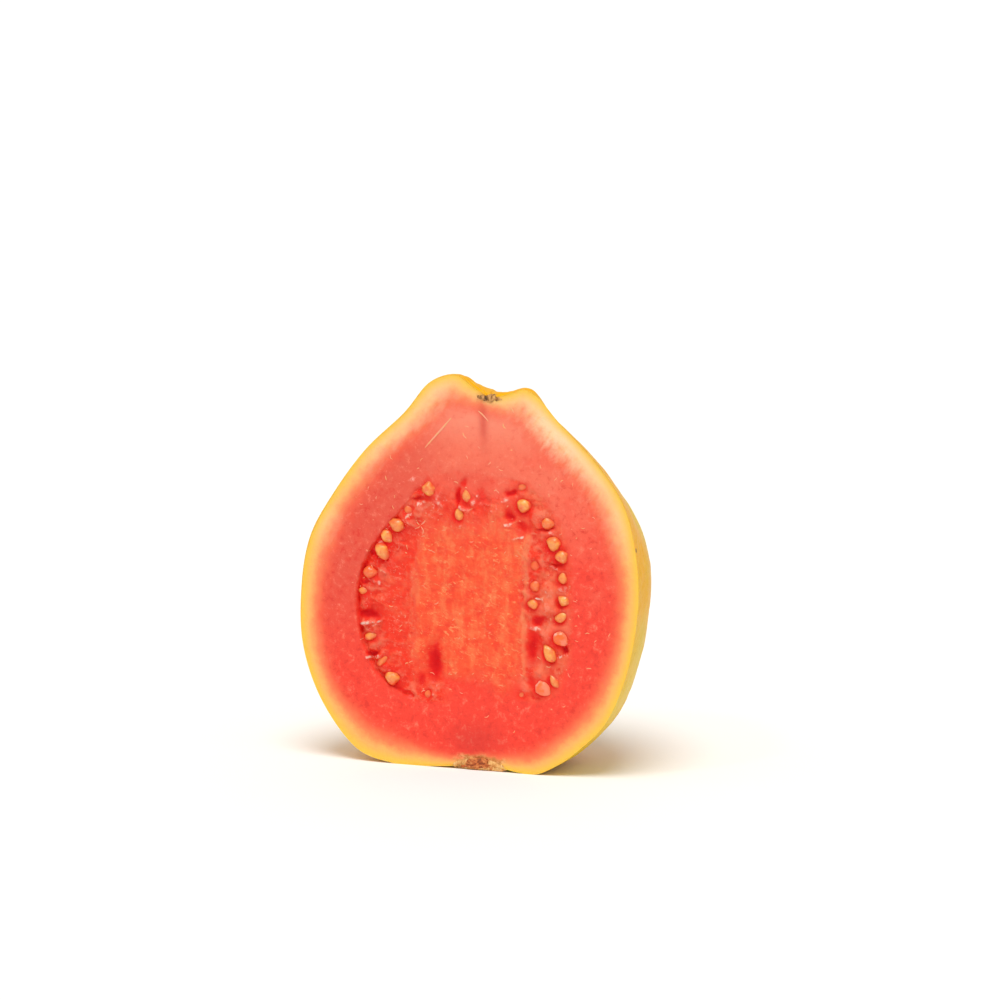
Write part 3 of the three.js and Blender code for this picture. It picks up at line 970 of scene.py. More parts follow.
@dataclass(frozen=True)
class FleshFinish:
    """Wet pink flesh: a yellow rim that turns to coral, salmon gel round the seeds, an orange core."""

    rim: Stops = (
        (0.0, "#fbcd50"), (0.07, "#fbcb54"), (0.235, "#fdbd6c"), (0.47, "#fb8758"), (0.7, "#f96648"),
        (0.95, "#f4543e"),
    )
    cream: str = "#ffeac6"
    upper: str = "#f87a60"
    lower: str = "#f84838"
    neck: str = "#ff9c80"
    mauve: str = "#e45a48"
    streak: str = "#fb8c70"
    shade: str = "#e23a30"
    gel: str = "#ff3a20"
    # Paler gel, also laid on the folds' crests as painted light.
    gel_pale_and_lit_crest: str = "#ff5c3a"
    gel_warm: str = "#ff7a54"
    gel_glow: str = "#ff9c7e"
    # The lumps' own pink in the belt, laid as a soft painted highlight.
    gel_pink_and_highlight: str = "#ff8e6e"
    # Darker gel: random seams, and painted shade in the troughs between the folds.
    gel_shade: str = "#f0301c"
    halo: str = "#ea2010"
    core: str = "#ff5a34"
    core_light: str = "#ff7a4a"
    core_shade: str = "#f8402a"
    crumb: str = "#ffaa6e"
    band: str = "#ff9464"
    # Painted shade: the darker reds laid in the pits, along the crack and under the seeds.
    deep: str = "#f02018"
    darkest_shade: str = "#da0a12"
    pale: str = "#ffae9c"
    # A painted highlight: the white-pink sparkle of wet membrane.
    painted_glint: str = "#ffd2c2"
    grit: str = "#ff9c82"
    brown: str = "#c47e42"
    tan: str = "#f6c284"
    dull: str = "#d23c34"

    def make(self) -> bpy.types.Material:
        """Builds the material."""
        paint = Paint("guava_flesh")
        colour = self._small_marks(paint, self._pulp(paint, self._flesh(paint)))
        fine = paint.noise(0.9, 6, 0.74)
        gloss = paint.mask("gel") + paint.mask("core") * 0.6
        return paint.finish(
            0.25, glow_tint=(1.0, 0.25, 0.15), Base_Color=colour, Roughness=0.5 - gloss * 0.2 - fine * 0.1,
            Normal=paint.bump(fine * (0.6 + gloss * 0.7), 0.9, 0.4), Specular_IOR_Level=0.14,
            Coat_Weight=(0.08 + gloss * 0.08) * (1 - paint.mask("deep")), Coat_Roughness=0.1,
        )

    def _flesh(self, paint: Paint) -> bpy.types.NodeSocket:
        """Colours the firm flesh from the rim inwards, with streaks and a cream edge."""
        edge, height = paint.mask("edge"), paint.mask("height")
        streaks = paint.noise(0.5, 6, 0.76, 0.3)
        wander = paint.noise(0.35, 3) - 0.5
        tone = paint.noise(0.08, 3, 0.6)
        mottle = paint.noise(0.55, 3, 0.6, squeeze=(1, 1, 0.5), turn=35)
        rim = paint.ramp(edge + (wander * 0.2 + (streaks - 0.5) * 0.3) * paint.step(edge, 0.0, 0.4), self.rim)
        zone = paint.layers(
            self.lower,
            (paint.step(height + (tone - 0.5) * 0.6, 0.4, 0.85), self.upper),
            (paint.step(height, 0.8, 0.93, 0.85), self.neck),
            (paint.mask("mauve") * 0.8, self.mauve),
        )
        cream = paint.mask("cream") * paint.step(edge + (mottle - 0.5) * 0.9, 0.85, 0.15)
        inward = paint.step(edge, 0.35, 0.9)
        smoother = inward * (1 - paint.step(height, 0.66, 0.86, 0.75))
        return paint.layers(
            rim,
            (paint.step(edge + wander * 0.3, 0.45, 1.05, 0.95), zone),
            (cream * paint.step(edge, 0.0, 0.24), self.cream),
            (paint.step(streaks, 0.52, 0.7, 0.7) * inward, self.streak),
            (paint.step(streaks, 0.49, 0.34, 0.75) * smoother, self.shade),
            (paint.mask("dull") * 0.6, self.dull),
        )

    def _pulp(self, paint: Paint, flesh: bpy.types.NodeSocket) -> bpy.types.NodeSocket:
        """Lays the gel, the core, the seeds' halos and the painted shade of the hollows over the flesh."""
        fine = paint.noise(0.8, 6, 0.76)
        hollow = paint.mask("deep")
        deep = paint.layers(self.deep, (paint.step(hollow + (fine - 0.5) * 0.5, 0.5, 1.0), self.darkest_shade))
        return paint.layers(
            flesh,
            (paint.mask("gel") * 0.92, self._gel(paint, fine)),
            (paint.mask("core") * 0.95, self._core(paint)),
            (paint.step(paint.mask("band") + (fine - 0.5) * 1.6, 0.2, 1.1, 0.75), self.band),
            (paint.mask("halo") * 0.65, self.halo),
            # Painted shade in the hollows, darker still where they go furthest back.
            (paint.step(hollow + (fine - 0.5) * 0.6, 0.05, 0.75), deep),
        )

    def _gel(self, paint: Paint, fine: Wire) -> bpy.types.NodeSocket:
        """Colours the soft gel round the seeds: paler clouds, with painted light on the folds' crests; pale
        rays and darker seams; in the belt, pink lumps with soft painted highlights, and painted shade in the
        troughs between the folds.
        """
        cloud = paint.noise(0.22, 4, 0.6)
        rays = fine * 0.6 + paint.noise(0.9, 4, 0.65, squeeze=(0.3, 1, 1.2), turn=12) * 0.4
        soft = paint.noise(0.36, 3, 0.6)
        fold, belt = paint.mask("fold"), paint.mask("belt")
        return paint.layers(
            self.gel,
            # Paler clouds, lighter on the folds' crests as painted light.
            (paint.step(cloud + fold * 0.25, 0.5, 0.8), self.gel_pale_and_lit_crest),
            (paint.mask("warm") * paint.step(cloud, 0.3, 0.6, 0.9), self.gel_warm),
            (paint.step(rays, 0.51, 0.66, 0.6), self.gel_glow),
            (paint.step(rays, 0.48, 0.35, 0.7), self.gel_shade),
            # Pink lumps in the belt with a soft painted highlight.
            (paint.step(soft + fold * 0.2, 0.5, 0.72, 0.6) * belt, self.gel_pink_and_highlight),
            # Painted shade in the troughs between the folds of the belt.
            (paint.step(fold + (fine - 0.5) * 0.8, 0.16, -0.1, 0.75) * belt, self.gel_shade),
        )

    def _core(self, paint: Paint) -> bpy.types.NodeSocket:
        """Colours the orange core: upright strands, soft lumps and pale crumbs."""
        lumps = paint.noise(0.42, 4, 0.65)
        strands = paint.noise(0.5, 4, 0.6, squeeze=(1, 1, 0.22))
        chips = paint.noise(0.9, 5, 0.74, 0.9, squeeze=(0.7, 1, 1.4), turn=20)
        patches = paint.step(paint.noise(0.2, 3, 0.6), 0.42, 0.58, 0.65)
        return paint.layers(
            self.core,
            (paint.step(strands * 0.5 + lumps * 0.5, 0.46, 0.62), self.core_light),
            (paint.step(lumps, 0.49, 0.36, 0.65), self.core_shade),
            (paint.step(chips, 0.54, 0.63) * (patches + 0.2), self.crumb),
            (paint.step(chips, 0.46, 0.33, 0.4), self.core_shade),
        )

    def _small_marks(self, paint: Paint, flesh: bpy.types.NodeSocket) -> bpy.types.NodeSocket:
        """Adds the stone grains, the pale membranes, small painted highlights on the wet membranes and the gel,
        and the dried tissue.
        """
        grit = paint.step(paint.noise(1.9, 2, 0.7), 0.6, 0.7) * paint.step(paint.noise(0.3), 0.46, 0.62)
        where = (0.16 + paint.mask("gel") * 0.5 + paint.mask("mauve") * 0.34) * (1 - paint.mask("deep"))
        torn = paint.noise(1.3, 5, 0.75) - 0.5
        pale = paint.mask("pale")
        dry = paint.layers(self.brown, (paint.step(paint.noise(0.9, 4, 0.7), 0.42, 0.62), self.tan))
        return paint.layers(
            flesh,
            (grit * where, self.grit),
            # Pale membrane, and on its palest parts a painted highlight of wet light.
            (paint.step(pale + torn * 1.4, 0.25, 0.95, 0.75), self.pale),
            (paint.step(pale + paint.mask("gel") * 0.08 + torn * 1.6, 0.62, 1.0, 0.85), self.painted_glint),
            (paint.mask("brown") * 0.9, dry),
        )


@dataclass(frozen=True)
class SeedFinish:
    """Hard tan seeds with painted light: lighter in the middle of the cap that rises out of the cut and towards
    the top, darker and redder towards the foot, flecked with painted highlights; reddened where gel covers
    them.
    """

    # The ramp from foot through side and top to light is painted light and shade; the cream flecks are painted
    # highlights.
    painted_gleam: str = "#ffcc8c"
    light: str = "#f49a52"
    top: str = "#ee823a"
    side: str = "#ee6230"
    foot: str = "#e0341c"
    veil: str = "#f4502e"
    yellow: str = "#ffb650"

    def make(self) -> bpy.types.Material:
        """Builds the material."""
        paint = Paint("guava_seed")
        mottle = paint.noise(1.2, 5, 0.7)
        # Painted light: the mask says how lit each point of the seed is painted.
        stand = paint.mask("stand") + (mottle - 0.5) * 0.3
        patch = paint.noise(0.4) + (mottle - 0.5) * 0.5
        colour = paint.layers(
            paint.ramp(stand, ((0.42, self.foot), (0.62, self.side), (0.8, self.top), (0.98, self.light))),
            (paint.step(mottle, 0.47, 0.3, 0.5), self.side),
            (paint.step(patch, 0.46, 0.62, 0.55), self.yellow),
            (paint.step(patch, 0.46, 0.3, 0.5), self.side),
            (paint.step(mottle, 0.56, 0.7, 0.6), self.painted_gleam),
            (paint.mask("veil") * 0.85, self.veil),
        )
        return paint.finish(
            0.2, 0.8, (1.0, 0.5, 0.2), Base_Color=colour, Roughness=0.38 - mottle * 0.1,
            Normal=paint.bump(mottle, 0.5, 0.3), Specular_IOR_Level=0.3, Coat_Weight=0.5, Coat_Roughness=0.1,
        )


@dataclass(frozen=True)
class ArilFinish:
    """Pink gel that still wraps a seed, with the seed's orange showing through its lower side and a painted
    highlight on its upper left.
    """

    pink: str = "#ff8e6c"
    flesh: str = "#f05238"
    orange: str = "#fb7030"
    # A painted highlight on the aril's upper left.
    painted_gleam: str = "#ffd2c4"

    def make(self) -> bpy.types.Material:
        """Builds the material."""
        paint = Paint("guava_aril")
        mottle = paint.noise(1.1, 3)
        patch = paint.noise(0.42) + (mottle - 0.5) * 0.4
        colour = paint.layers(
            self.orange,
            (paint.step(patch, 0.42, 0.62), self.pink),
            # Painted highlight on the aril's upper left.
            (paint.step(paint.mask("stand") + (mottle - 0.5) * 0.8, 0.8, 1.1, 0.7), self.painted_gleam),
            (paint.mask("veil") * 0.7, self.flesh),
        )
        return paint.finish(
            0.3, glow_tint=(1.0, 0.4, 0.25), Base_Color=colour, Roughness=0.35, Specular_IOR_Level=0.3,
            Normal=paint.bump(mottle, 0.45, 0.3), Coat_Weight=0.4, Coat_Roughness=0.1,
        )


@dataclass(frozen=True)
class DryFinish:
    """Dried brown tissue of the stem scar and the calyx."""

    dark: str = "#3e2c1a"
    brown: str = "#a8713a"
    straw: str = "#e6b06c"
    squeeze: tuple[float, float, float] = (1, 1, 0.4)

    def make(self) -> bpy.types.Material:
        """Builds the material."""
        paint = Paint("guava_dry")
        fibres = paint.noise(1.3, 4, 0.7, squeeze=self.squeeze)
        colour = paint.ramp(fibres, ((0.34, self.dark), (0.46, self.brown), (0.62, self.straw)))
        return paint.finish(Base_Color=colour, Roughness=0.8, Normal=paint.bump(fibres, 0.8, 0.3))


@dataclass(frozen=True)
class FibreFinish:
    """Pale, wet strands drawn up from the flesh."""

    pale: str = "#f4b474"
    warm: str = "#fba483"

    def make(self) -> bpy.types.Material:
        """Builds the material."""
        paint = Paint("guava_fibre")
        colour = paint.layers(self.pale, (paint.step(paint.noise(0.9), 0.35, 0.65), self.warm))
        return paint.finish(Base_Color=colour, Roughness=0.35, Coat_Weight=0.4, Coat_Roughness=0.15)


@dataclass
class FruitBody:
    """The body of the half: the skin side and the cut face, as one closed mesh."""

    form: SkinForm
    face: CutFace
    around: int = 128
    up: int = 288
    fine_ring: float = 0.0086
    flesh_ring: float = 0.0112
    core_ring: float = 0.0135
    bevel: Sequence[float] = (0.9975, 0.993)
    rim_bevel: float = 0.12
    pore_depth: float = 0.05
    outline_step: float = 0.25
    rim: Sequence[tuple[float, float, float]] = (
        (0, 3.2, 0), (6, 5.5, 0), (12, 7.6, 0), (24, 9, 0), (36, 8.5, 0), (48, 7.6, 0), (60, 7.9, 0),
        (72, 8.2, 0), (78, 9.2, 0.15), (84, 11.2, 0.3), (90, 10.8, 0.25), (96, 10.4, 0.4), (102, 10.4, 0.5),
        (108, 10.2, 0.7), (114, 11.6, 0.65), (120, 11, 0.35), (126, 9.5, 0.25), (132, 4.6, 0.1), (138, 9, 0.1),
        (144, 11, 0.3), (150, 10, 0.35), (156, 8.9, 0.3), (168, 8.7, 0.3), (180, 7.5, 0.05), (186, 7.4, 0.1),
        (192, 8.2, 0.25), (198, 8.7, 0.05), (210, 8.1, 0), (228, 7.8, 0), (234, 7.5, 0), (240, 9.2, 0),
        (246, 10.8, 0), (252, 11.5, 0), (258, 9.7, 0), (264, 7.8, 0), (270, 4.8, 0), (278, 3.2, 0),
    )
    bump_depth: float = 0.42
    full_height: float = 90.0
    mauve_across: Span = (-2, -20)
    mauve_foot: Span = (18, 46)
    mauve_top: Span = (84, 72)
    mauve_brow: Pit = Pit(-6, 67, 26, 7, 0, 1, 1)
    dull_foot: Pit = Pit(-1.5, 6.8, 14, 9, 0, 1, 1)
    dull_stem: Pit = Pit(0.6, 80.5, 11, 2.2, 92, 1, 1)
    brown_stem: Pit = Pit(1.6, 86.2, 5.2, 2.6, 0, 1, 1.2)
    brown_calyx: Pit = Pit(-0.3, 2.0, 12.5, 3.4, 0, 1, 1.4)

    def rings(self) -> list[float]:
        """The sizes of the cut face's rings, as shares of the outline, closest about the seeds."""
        sizes = list(self.bevel)
        while sizes[-1] > 0.05:
            size = sizes[-1]
            step = self.flesh_ring if size > 0.74 else self.fine_ring if size > 0.34 else self.core_ring
            sizes.append(size - step)
        return sizes

    def build(self, place: Place) -> bpy.types.Object:
        """Models the body.

        Args:
            place: Where the fruit stands.

        Returns:
            The finished piece.
        """
        body = named_ball("guava_body", self.around, self.up)
        self._halve_and_fill(body)
        unit = read_points(body)
        points, masks = self._shape(unit)
        cut = np.abs(unit[:, 1]) < FLAT
        write_points(body, place.world(points))
        for name, values in masks.items():
            write_mask(body, name, values)
        self._dress(body, cut)
        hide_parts(NODE)
        return keep(body)

    def _halve_and_fill(self, body: bpy.types.Object) -> None:
        """Cuts the ball in half and draws its open rim in, ring by ring, to close the cut face."""
        only(body)
        bpy.ops.object.mode_set(mode="EDIT")
        bpy.ops.mesh.select_all(action="SELECT")
        bpy.ops.mesh.bisect(plane_co=(0, 0, 0), plane_no=(0, 1, 0), clear_inner=True, threshold=FLAT)
        bpy.ops.mesh.select_all(action="DESELECT")
        bpy.ops.mesh.select_mode(type="EDGE")
        bpy.ops.mesh.select_non_manifold(
            use_wire=False, use_multi_face=False, use_non_contiguous=False, use_verts=False
        )
        bpy.ops.mesh.mark_sharp()
        last = 1.0
        for size in self.rings():
            bpy.ops.mesh.extrude_edges_move()
            share = size / last
            bpy.ops.transform.resize(value=(share, 1.0, share), center_override=(0, 0, 0))
            last = size
        bpy.ops.mesh.extrude_edges_move()
        bpy.ops.mesh.merge(type="CENTER")
        bpy.ops.object.mode_set(mode="OBJECT")
        face_outwards(body)

    def _shape(self, unit: np.ndarray) -> tuple[np.ndarray, dict[str, np.ndarray]]:
        """Moves the half ball's points to the fruit.

        Args:
            unit: Points of the half ball and of the flat disc that closes it.

        Returns:
            The points in millimetres, and a mask for each name.
        """
        size = np.linalg.norm(unit, axis=1)
        size[size == 0] = 1e-9
        cut = np.abs(unit[:, 1]) < FLAT
        rim = cut & (size > 1 - 1e-4)
        share = 1 - np.arccos(np.clip(unit[:, 2] / size, -1, 1)) / math.pi
        azimuth = np.arctan2(unit[:, 1], unit[:, 0])
        azimuth[cut] = np.where(unit[cut, 0] >= 0, 0.0, math.pi)
        points = self.form.at(share, azimuth)
        skin = ~cut
        points[skin] = self._weather(points[skin], share[skin], azimuth[skin])
        inner = cut & ~rim
        centre = np.array((self.face.centre[0], 0.0, self.face.centre[1]))
        points[inner] = centre + size[inner, None] * (points[inner] - centre)
        across, up = points[cut, 0], points[cut, 2]
        line = self._outline()
        way = np.arange(len(line)) * self.outline_step
        stations = np.array(self.rim)
        here = np.stack([np.interp(way, stations[:, 0], stations[:, i]) for i in (1, 2)], 1)
        edge, own = measure(across, up, line, here)
        edge[rim[cut]] = 0.0
        width = own[:, 0] + 0.7 * Grain(31, (9, 9)).at(across, up)
        shape = self.face.shape(across, up)
        points[cut, 1] = np.where(edge == 0, 0.0, shape.pop("depth") + self.rim_bevel * np.exp(-edge / 0.12))
        shape.update(
            edge=edge / width, cream=own[:, 1], mauve=self._mauve(across, up), dull=self._dull(across, up),
            brown=self._brown(across, up),
        )
        masks = {name: np.zeros(len(unit)) for name in shape}
        for name, values in shape.items():
            masks[name][cut] = values
        masks["height"] = points[:, 2] / self.full_height
        return points, masks

    def _outline(self) -> np.ndarray:
        """Evenly set points right round the cut's outline, from the calyx up the right side."""
        share = np.linspace(0, 1, 900)
        right = self.form.at(share, np.zeros(900))
        left = self.form.at(share[::-1], np.full(900, math.pi))
        way = np.concatenate((right, left))[:, (0, 2)]
        length = np.concatenate(((0.0,), np.cumsum(np.hypot(*np.diff(way, axis=0).T))))
        even = np.arange(0, length[-1], self.outline_step)
        return np.stack([np.interp(even, length, way[:, i]) for i in (0, 1)], 1)

    def _weather(self, points: np.ndarray, share: np.ndarray, azimuth: np.ndarray) -> np.ndarray:
        """Adds the small dents and low bumps of a grown skin, which fade out at the cut."""
        fade = smooth(0.0, 0.25, np.sin(azimuth)) * smooth(0.0, 0.05, share) * smooth(1.0, 0.95, share)
        around, up = azimuth * 38, points[:, 2]
        relief = self.bump_depth * Grain(21, (9, 12)).at(around, up)
        relief = relief + 0.4 * self.bump_depth * Grain(23, (4, 5)).at(around, up)
        relief = relief + self.pore_depth * Grain(22, (1.6, 1.6)).at(around, up)
        out = points - np.array((0.0, 0.0, 42.0))
        out = out / np.linalg.norm(out, axis=1)[:, None]
        moved = points + out * (relief * fade)[:, None]
        moved[:, 2] = np.where(points[:, 2] <= 1e-6, 0.0, np.maximum(moved[:, 2], 0.0))
        return moved

    def _mauve(self, across: np.ndarray, up: np.ndarray) -> np.ndarray:
        """Where the flesh is a duller, darker pink, on the upper left."""
        left = smooth(*self.mauve_across, across) * smooth(*self.mauve_foot, up) * smooth(*self.mauve_top, up)
        return np.maximum(left, 0.6 * self.mauve_brow.share(across, up))

    def _dull(self, across: np.ndarray, up: np.ndarray) -> np.ndarray:
        """Where the flesh is duller, above the calyx and under the stem."""
        return np.maximum(self.dull_foot.share(across, up), self.dull_stem.share(across, up))

    def _brown(self, across: np.ndarray, up: np.ndarray) -> np.ndarray:
        """Where tissue has dried at the stem scar and round the calyx."""
        ragged = Grain(33, (1.1, 0.8)).at(across, up)
        stem = smooth(0.3, 0.8, self.brown_stem.share(across, up) + 0.35 * ragged)
        calyx = smooth(0.3, 0.7, self.brown_calyx.share(across, up) + 0.3 * ragged)
        return np.clip(stem * 0.8 + calyx, 0, 1)

    def _dress(self, body: bpy.types.Object, cut: np.ndarray) -> None:
        """Gives the skin side and the cut face their materials."""
        body.data.materials.append(SkinFinish().make())
        body.data.materials.append(FleshFinish().make())
        for face in body.data.polygons:
            face.material_index = int(all(cut[v] for v in face.vertices))


@dataclass
class SeedBed:
    """The seeds, and the gel that still wraps some of them."""

    around: int = 28
    along: int = 18
    thick: float = 0.82
    lump: float = 0.09

    def build(self, place: Place) -> list[bpy.types.Object]:
        """Models every seed and joins them into two pieces, by finish."""
        blank = named_ball("seed_blank", self.around, self.along)
        groups: dict[bool, list[bpy.types.Object]] = {False: [], True: []}
        for number, seed in enumerate(SEEDS):
            copy = copy_of(blank, f"seed_{number}")
            self._shape(copy, seed, number, place)
            groups[seed.shape is SeedShape.ARIL].append(copy)
        bpy.data.objects.remove(blank)
        bare, wrapped = join(groups[False], "seeds"), join(groups[True], "seed_arils")
        bare.data.materials.append(SeedFinish().make())
        wrapped.data.materials.append(ArilFinish().make())
        return [keep(bare), keep(wrapped)]

    def _shape(self, piece: bpy.types.Object, seed: Seed, number: int, place: Place) -> None:
        """Shapes one copy of the ball into a seed and lays it in its pocket.

        Args:
            piece: The copy, whose Z is the seed's length.
            seed: Where the seed lies and how large it is.
            number: Its number, which seeds its lumps.
            place: Where the fruit stands.
        """
        unit = read_points(piece)
        along, side, front = unit[:, 2], unit[:, 0], unit[:, 1]
        if seed.shape is SeedShape.SHIELD:
            waist = 1.1 - 0.46 * smooth(-0.5, 1.0, along)
            along = np.where(along < 0, -np.abs(along) ** 1.3 * 0.88, along * (1 - 0.1 * along))
        elif seed.shape is SeedShape.EGG:
            waist = 1.04 - 0.3 * smooth(-0.4, 1.0, along)
        else:
            waist = 1.06 - 0.24 * smooth(-0.6, 1.0, along)
        lumps = 1 + self.lump * Grain(60 + number, (0.7, 0.7)).at(side * 2 + 3, along * 2 + front)
        x = along * seed.length / 2 * lumps
        z = side * waist * seed.width / 2 * lumps
        y = -front * waist * self.thick * seed.width / 2
        x, z = turned(x, z, seed.turn)
        write_points(piece, place.world(np.stack((seed.across + x, seed.sunk + y, seed.up + z), 1)))
        right, rise = x / (seed.length / 2), z / (seed.length / 2)
        cover = Grain(90 + number, (1.1, 1.1)).at(right * 2 + 9, rise * 2 + 9)
        # How lit each point is painted: a seed is lighter where its cap rises out of the cut and a little
        # towards its top; an aril gets its painted highlight on the upper left.
        if seed.shape is SeedShape.ARIL:
            stand = 0.45 - 0.45 * right + 0.4 * rise
            veil = 0.6 * smooth(0.4, 0.0, front)
        else:
            stand = 0.5 + 0.5 * front + 0.08 * rise
            veil = smooth(0.55, 0.1, front + 0.5 * cover)
            veil = np.maximum(veil, 0.6 * smooth(0.35, 0.9, cover - 0.4 * rise))
        write_mask(piece, "stand", np.clip(stand, 0, 1))
        write_mask(piece, "veil", np.maximum(seed.veil, veil))
        face_outwards(piece)


@dataclass
class Strands:
    """Pale fibres that the knife drew up: a few long ones, and many short ones strewn over the cut."""

    face: CutFace
    long_ones: Sequence[tuple[float, float, float, float, float]] = (
        (-7.1, 81.2, -13.7, 73.7, 0.2), (-7.3, 81.2, -12.0, 75.9, 0.12), (-0.7, 83.2, 1.8, 80.9, 0.16),
        (7.2, 84.6, 8.0, 83.3, 0.14),
        (-4.4, 78.0, -3.4, 76.6, 0.13), (5.4, 80.8, 6.2, 79.5, 0.13), (-14.8, 55.8, -13.6, 57.0, 0.14),
        (-14.8, 55.6, -15.9, 56.9, 0.12), (-14.7, 55.5, -14.3, 53.6, 0.12), (-14.9, 55.5, -16.2, 54.9, 0.1),
    )
    random_seed: int = 41
    short_count: int = 130
    short_length: Span = (0.3, 1.3)
    short_half: Span = (0.05, 0.1)
    field_across: Span = (-40, 34)
    field_up: Span = (5, 82)
    field_middle: Span = (0, 44)
    field_reach: Span = (36, 40)
    straggle: float = 0.6

    def build(self, place: Place) -> bpy.types.Object:
        """Lays tapered strands on the cut face and joins them."""
        rng = np.random.default_rng(self.random_seed)
        blank = named_ball("fibre_blank", 8, 10)
        rows = list(self.long_ones) + [self._short(rng) for _ in range(self.short_count)]
        pieces = []
        for number, (x0, z0, x1, z1, half) in enumerate(rows):
            copy = copy_of(blank, f"fibre_{number}")
            unit = read_points(copy)
            t = (unit[:, 2] + 1) / 2
            length = math.hypot(x1 - x0, z1 - z0)
            bow = (0.05 if length > 2 else 0.2) * length * math.sin(number) * np.sin(math.pi * t)
            nx, nz = -(z1 - z0) / length, (x1 - x0) / length
            across = x0 + (x1 - x0) * t + (unit[:, 0] * half + bow) * nx
            up = z0 + (z1 - z0) * t + (unit[:, 0] * half + bow) * nz
            depth = self.face.shape(across, up)["depth"]
            points = np.stack((across, depth - unit[:, 1] * half * 0.7, up), 1)
            write_points(copy, place.world(points))
            pieces.append(copy)
        bpy.data.objects.remove(blank)
        piece = join(pieces, "fibres")
        face_outwards(piece)
        piece.data.materials.append(FibreFinish().make())
        return keep(piece)

    def _short(self, rng: np.random.Generator) -> tuple[float, float, float, float, float]:
        """One short strand, somewhere in the flesh or the core, more or less along the flesh's grain."""
        while True:
            across, up = rng.uniform(*self.field_across), rng.uniform(*self.field_up)
            (middle, height), (wide, high) = self.field_middle, self.field_reach
            room = math.hypot((across - middle) / wide, (up - height) / high)
            if room < 0.9:
                break
        slope = math.atan2(up - 40, across + 3) + rng.normal(0, self.straggle)
        if abs(across + 3) < 13:
            slope = rng.normal(0.3, self.straggle)
        length = rng.uniform(*self.short_length)
        half = rng.uniform(*self.short_half)
        return (across, up, across + length * math.cos(slope), up + length * math.sin(slope), half)


@dataclass
class StemScar:
    """The corky scar that the stalk left, halved by the cut."""

    across: float = 1.9
    up: float = 86.3
    radius: float = 2.9
    half_height: float = 0.62
    around: int = 64
    rough: float = 0.28

    def build(self, place: Place) -> bpy.types.Object:
        """Models the scar."""
        scar = named_ball("stem_scar", self.around, 32)
        halve(scar)
        unit = read_points(scar)
        turn = np.arctan2(unit[:, 1], unit[:, 0])
        out = np.hypot(unit[:, 0], unit[:, 1])
        lumps = 1 + 0.16 * Grain(51, (0.35, 0.35)).at(turn + 4, unit[:, 2] + out)
        crack = np.clip(1 - np.abs(((turn * 9 / math.pi + 0.3 * np.sin(7 * out)) % 1) - 0.5) * 5, 0, 1)
        high = unit[:, 2] * self.half_height * lumps
        right, back = unit[:, 0] * self.radius, unit[:, 1] * self.radius
        high = high + self.rough * Grain(52, (0.5, 0.5)).at(right, back + 9)
        high = high - 0.3 * crack * smooth(0.2, 0.6, out) * (unit[:, 2] > 0)
        points = np.stack((self.across + right * lumps, back * lumps, self.up + high), 1)
        write_points(scar, place.world(points))
        scar.data.materials.append(DryFinish().make())
        return keep(scar)


@dataclass
class Calyx:
    """The crumpled remains of the flower under the fruit: a knot, five sepals and a dried margin."""

    across: float = -0.9
    up: float = 1.75
    front: float = -0.3
    knot: tuple[float, float, float] = (2.9, 2.6, 1.3)
    margin: tuple[float, float, float] = (6.6, 2.6, 1.5)
    sepal: tuple[float, float, float] = (1.7, 0.8, 0.38)
    turns: Sequence[float] = (10, 50, 92, 132, 170)
    lowest: float = 0.12
    margin_at: tuple[float, float, float] = (-0.5, 0.1, 0.9)
    sepal_root: float = 1.2
    sepal_up: float = 1.05
    sepal_curl: float = 0.9

    def build(self, place: Place) -> list[bpy.types.Object]:
        """Models the knot with its sepals as one piece, and the margin as another."""
        knot = self._ball("calyx_knot", self.knot, (self.across, self.front, self.up), 0.3, place)
        piece = join([knot] + [self._sepal(n, turn, place) for n, turn in enumerate(self.turns)], "calyx")
        finish = DryFinish(dark="#6a2c10", brown="#c2622a", straw="#e89c58", squeeze=(0.5, 1, 1))
        piece.data.materials.append(finish.make())
        margin = self._ball("calyx_margin", self.margin, self.margin_at, 0.1, place)
        finish = DryFinish(dark="#b06a2c", brown="#e0a058", straw="#f6cc86", squeeze=(1, 1, 0.5))
        margin.data.materials.append(finish.make())
        return [keep(piece), keep(margin)]

    def _ball(
        self, name: str, size: Sequence[float], middle: Sequence[float], rough: float, place: Place
    ) -> bpy.types.Object:
        """Shapes half a crumpled ball with its flat side in the cut.

        Args:
            name: The piece's name.
            size: Its reach across, behind and up.
            middle: The middle of its flat side.
            rough: How crumpled it is, as a share of its size.
            place: Where the fruit stands.

        Returns:
            The piece.
        """
        ball = named_ball(name, 64, 40)
        halve(ball)
        unit = read_points(ball)
        lumps = 1 + rough * Grain(54, (0.7, 0.35)).at(unit[:, 0] * 2 + 7, unit[:, 2] * 1.6 + unit[:, 1] + 7)
        points = unit * np.array(size) * lumps[:, None] + np.array(middle)
        points[:, 2] = np.maximum(points[:, 2], self.lowest)
        write_points(ball, place.world(points))
        return ball

    def _sepal(self, number: int, turn: float, place: Place) -> bpy.types.Object:
        """Shapes one withered sepal, which curls down at its tip."""
        leaf = named_ball(f"sepal_{number}", 20, 14)
        unit = read_points(leaf)
        long, wide, thick = self.sepal
        along = (unit[:, 0] + 1) / 2
        x = self.sepal_root + along * 2 * long
        y = unit[:, 1] * wide * (1 - 0.5 * along) + 0.25 * np.sin(5 * along + number)
        z = self.sepal_up + unit[:, 2] * thick - self.sepal_curl * along**2
        z = z + 0.18 * Grain(56 + number, (0.4, 0.4)).at(x + 5, y + 5)
        x, y = turned(x, y, turn)
        points = np.stack((self.across + x, np.maximum(0.05, y), np.maximum(self.lowest, z)), 1)
        write_points(leaf, place.world(points))
        return leaf


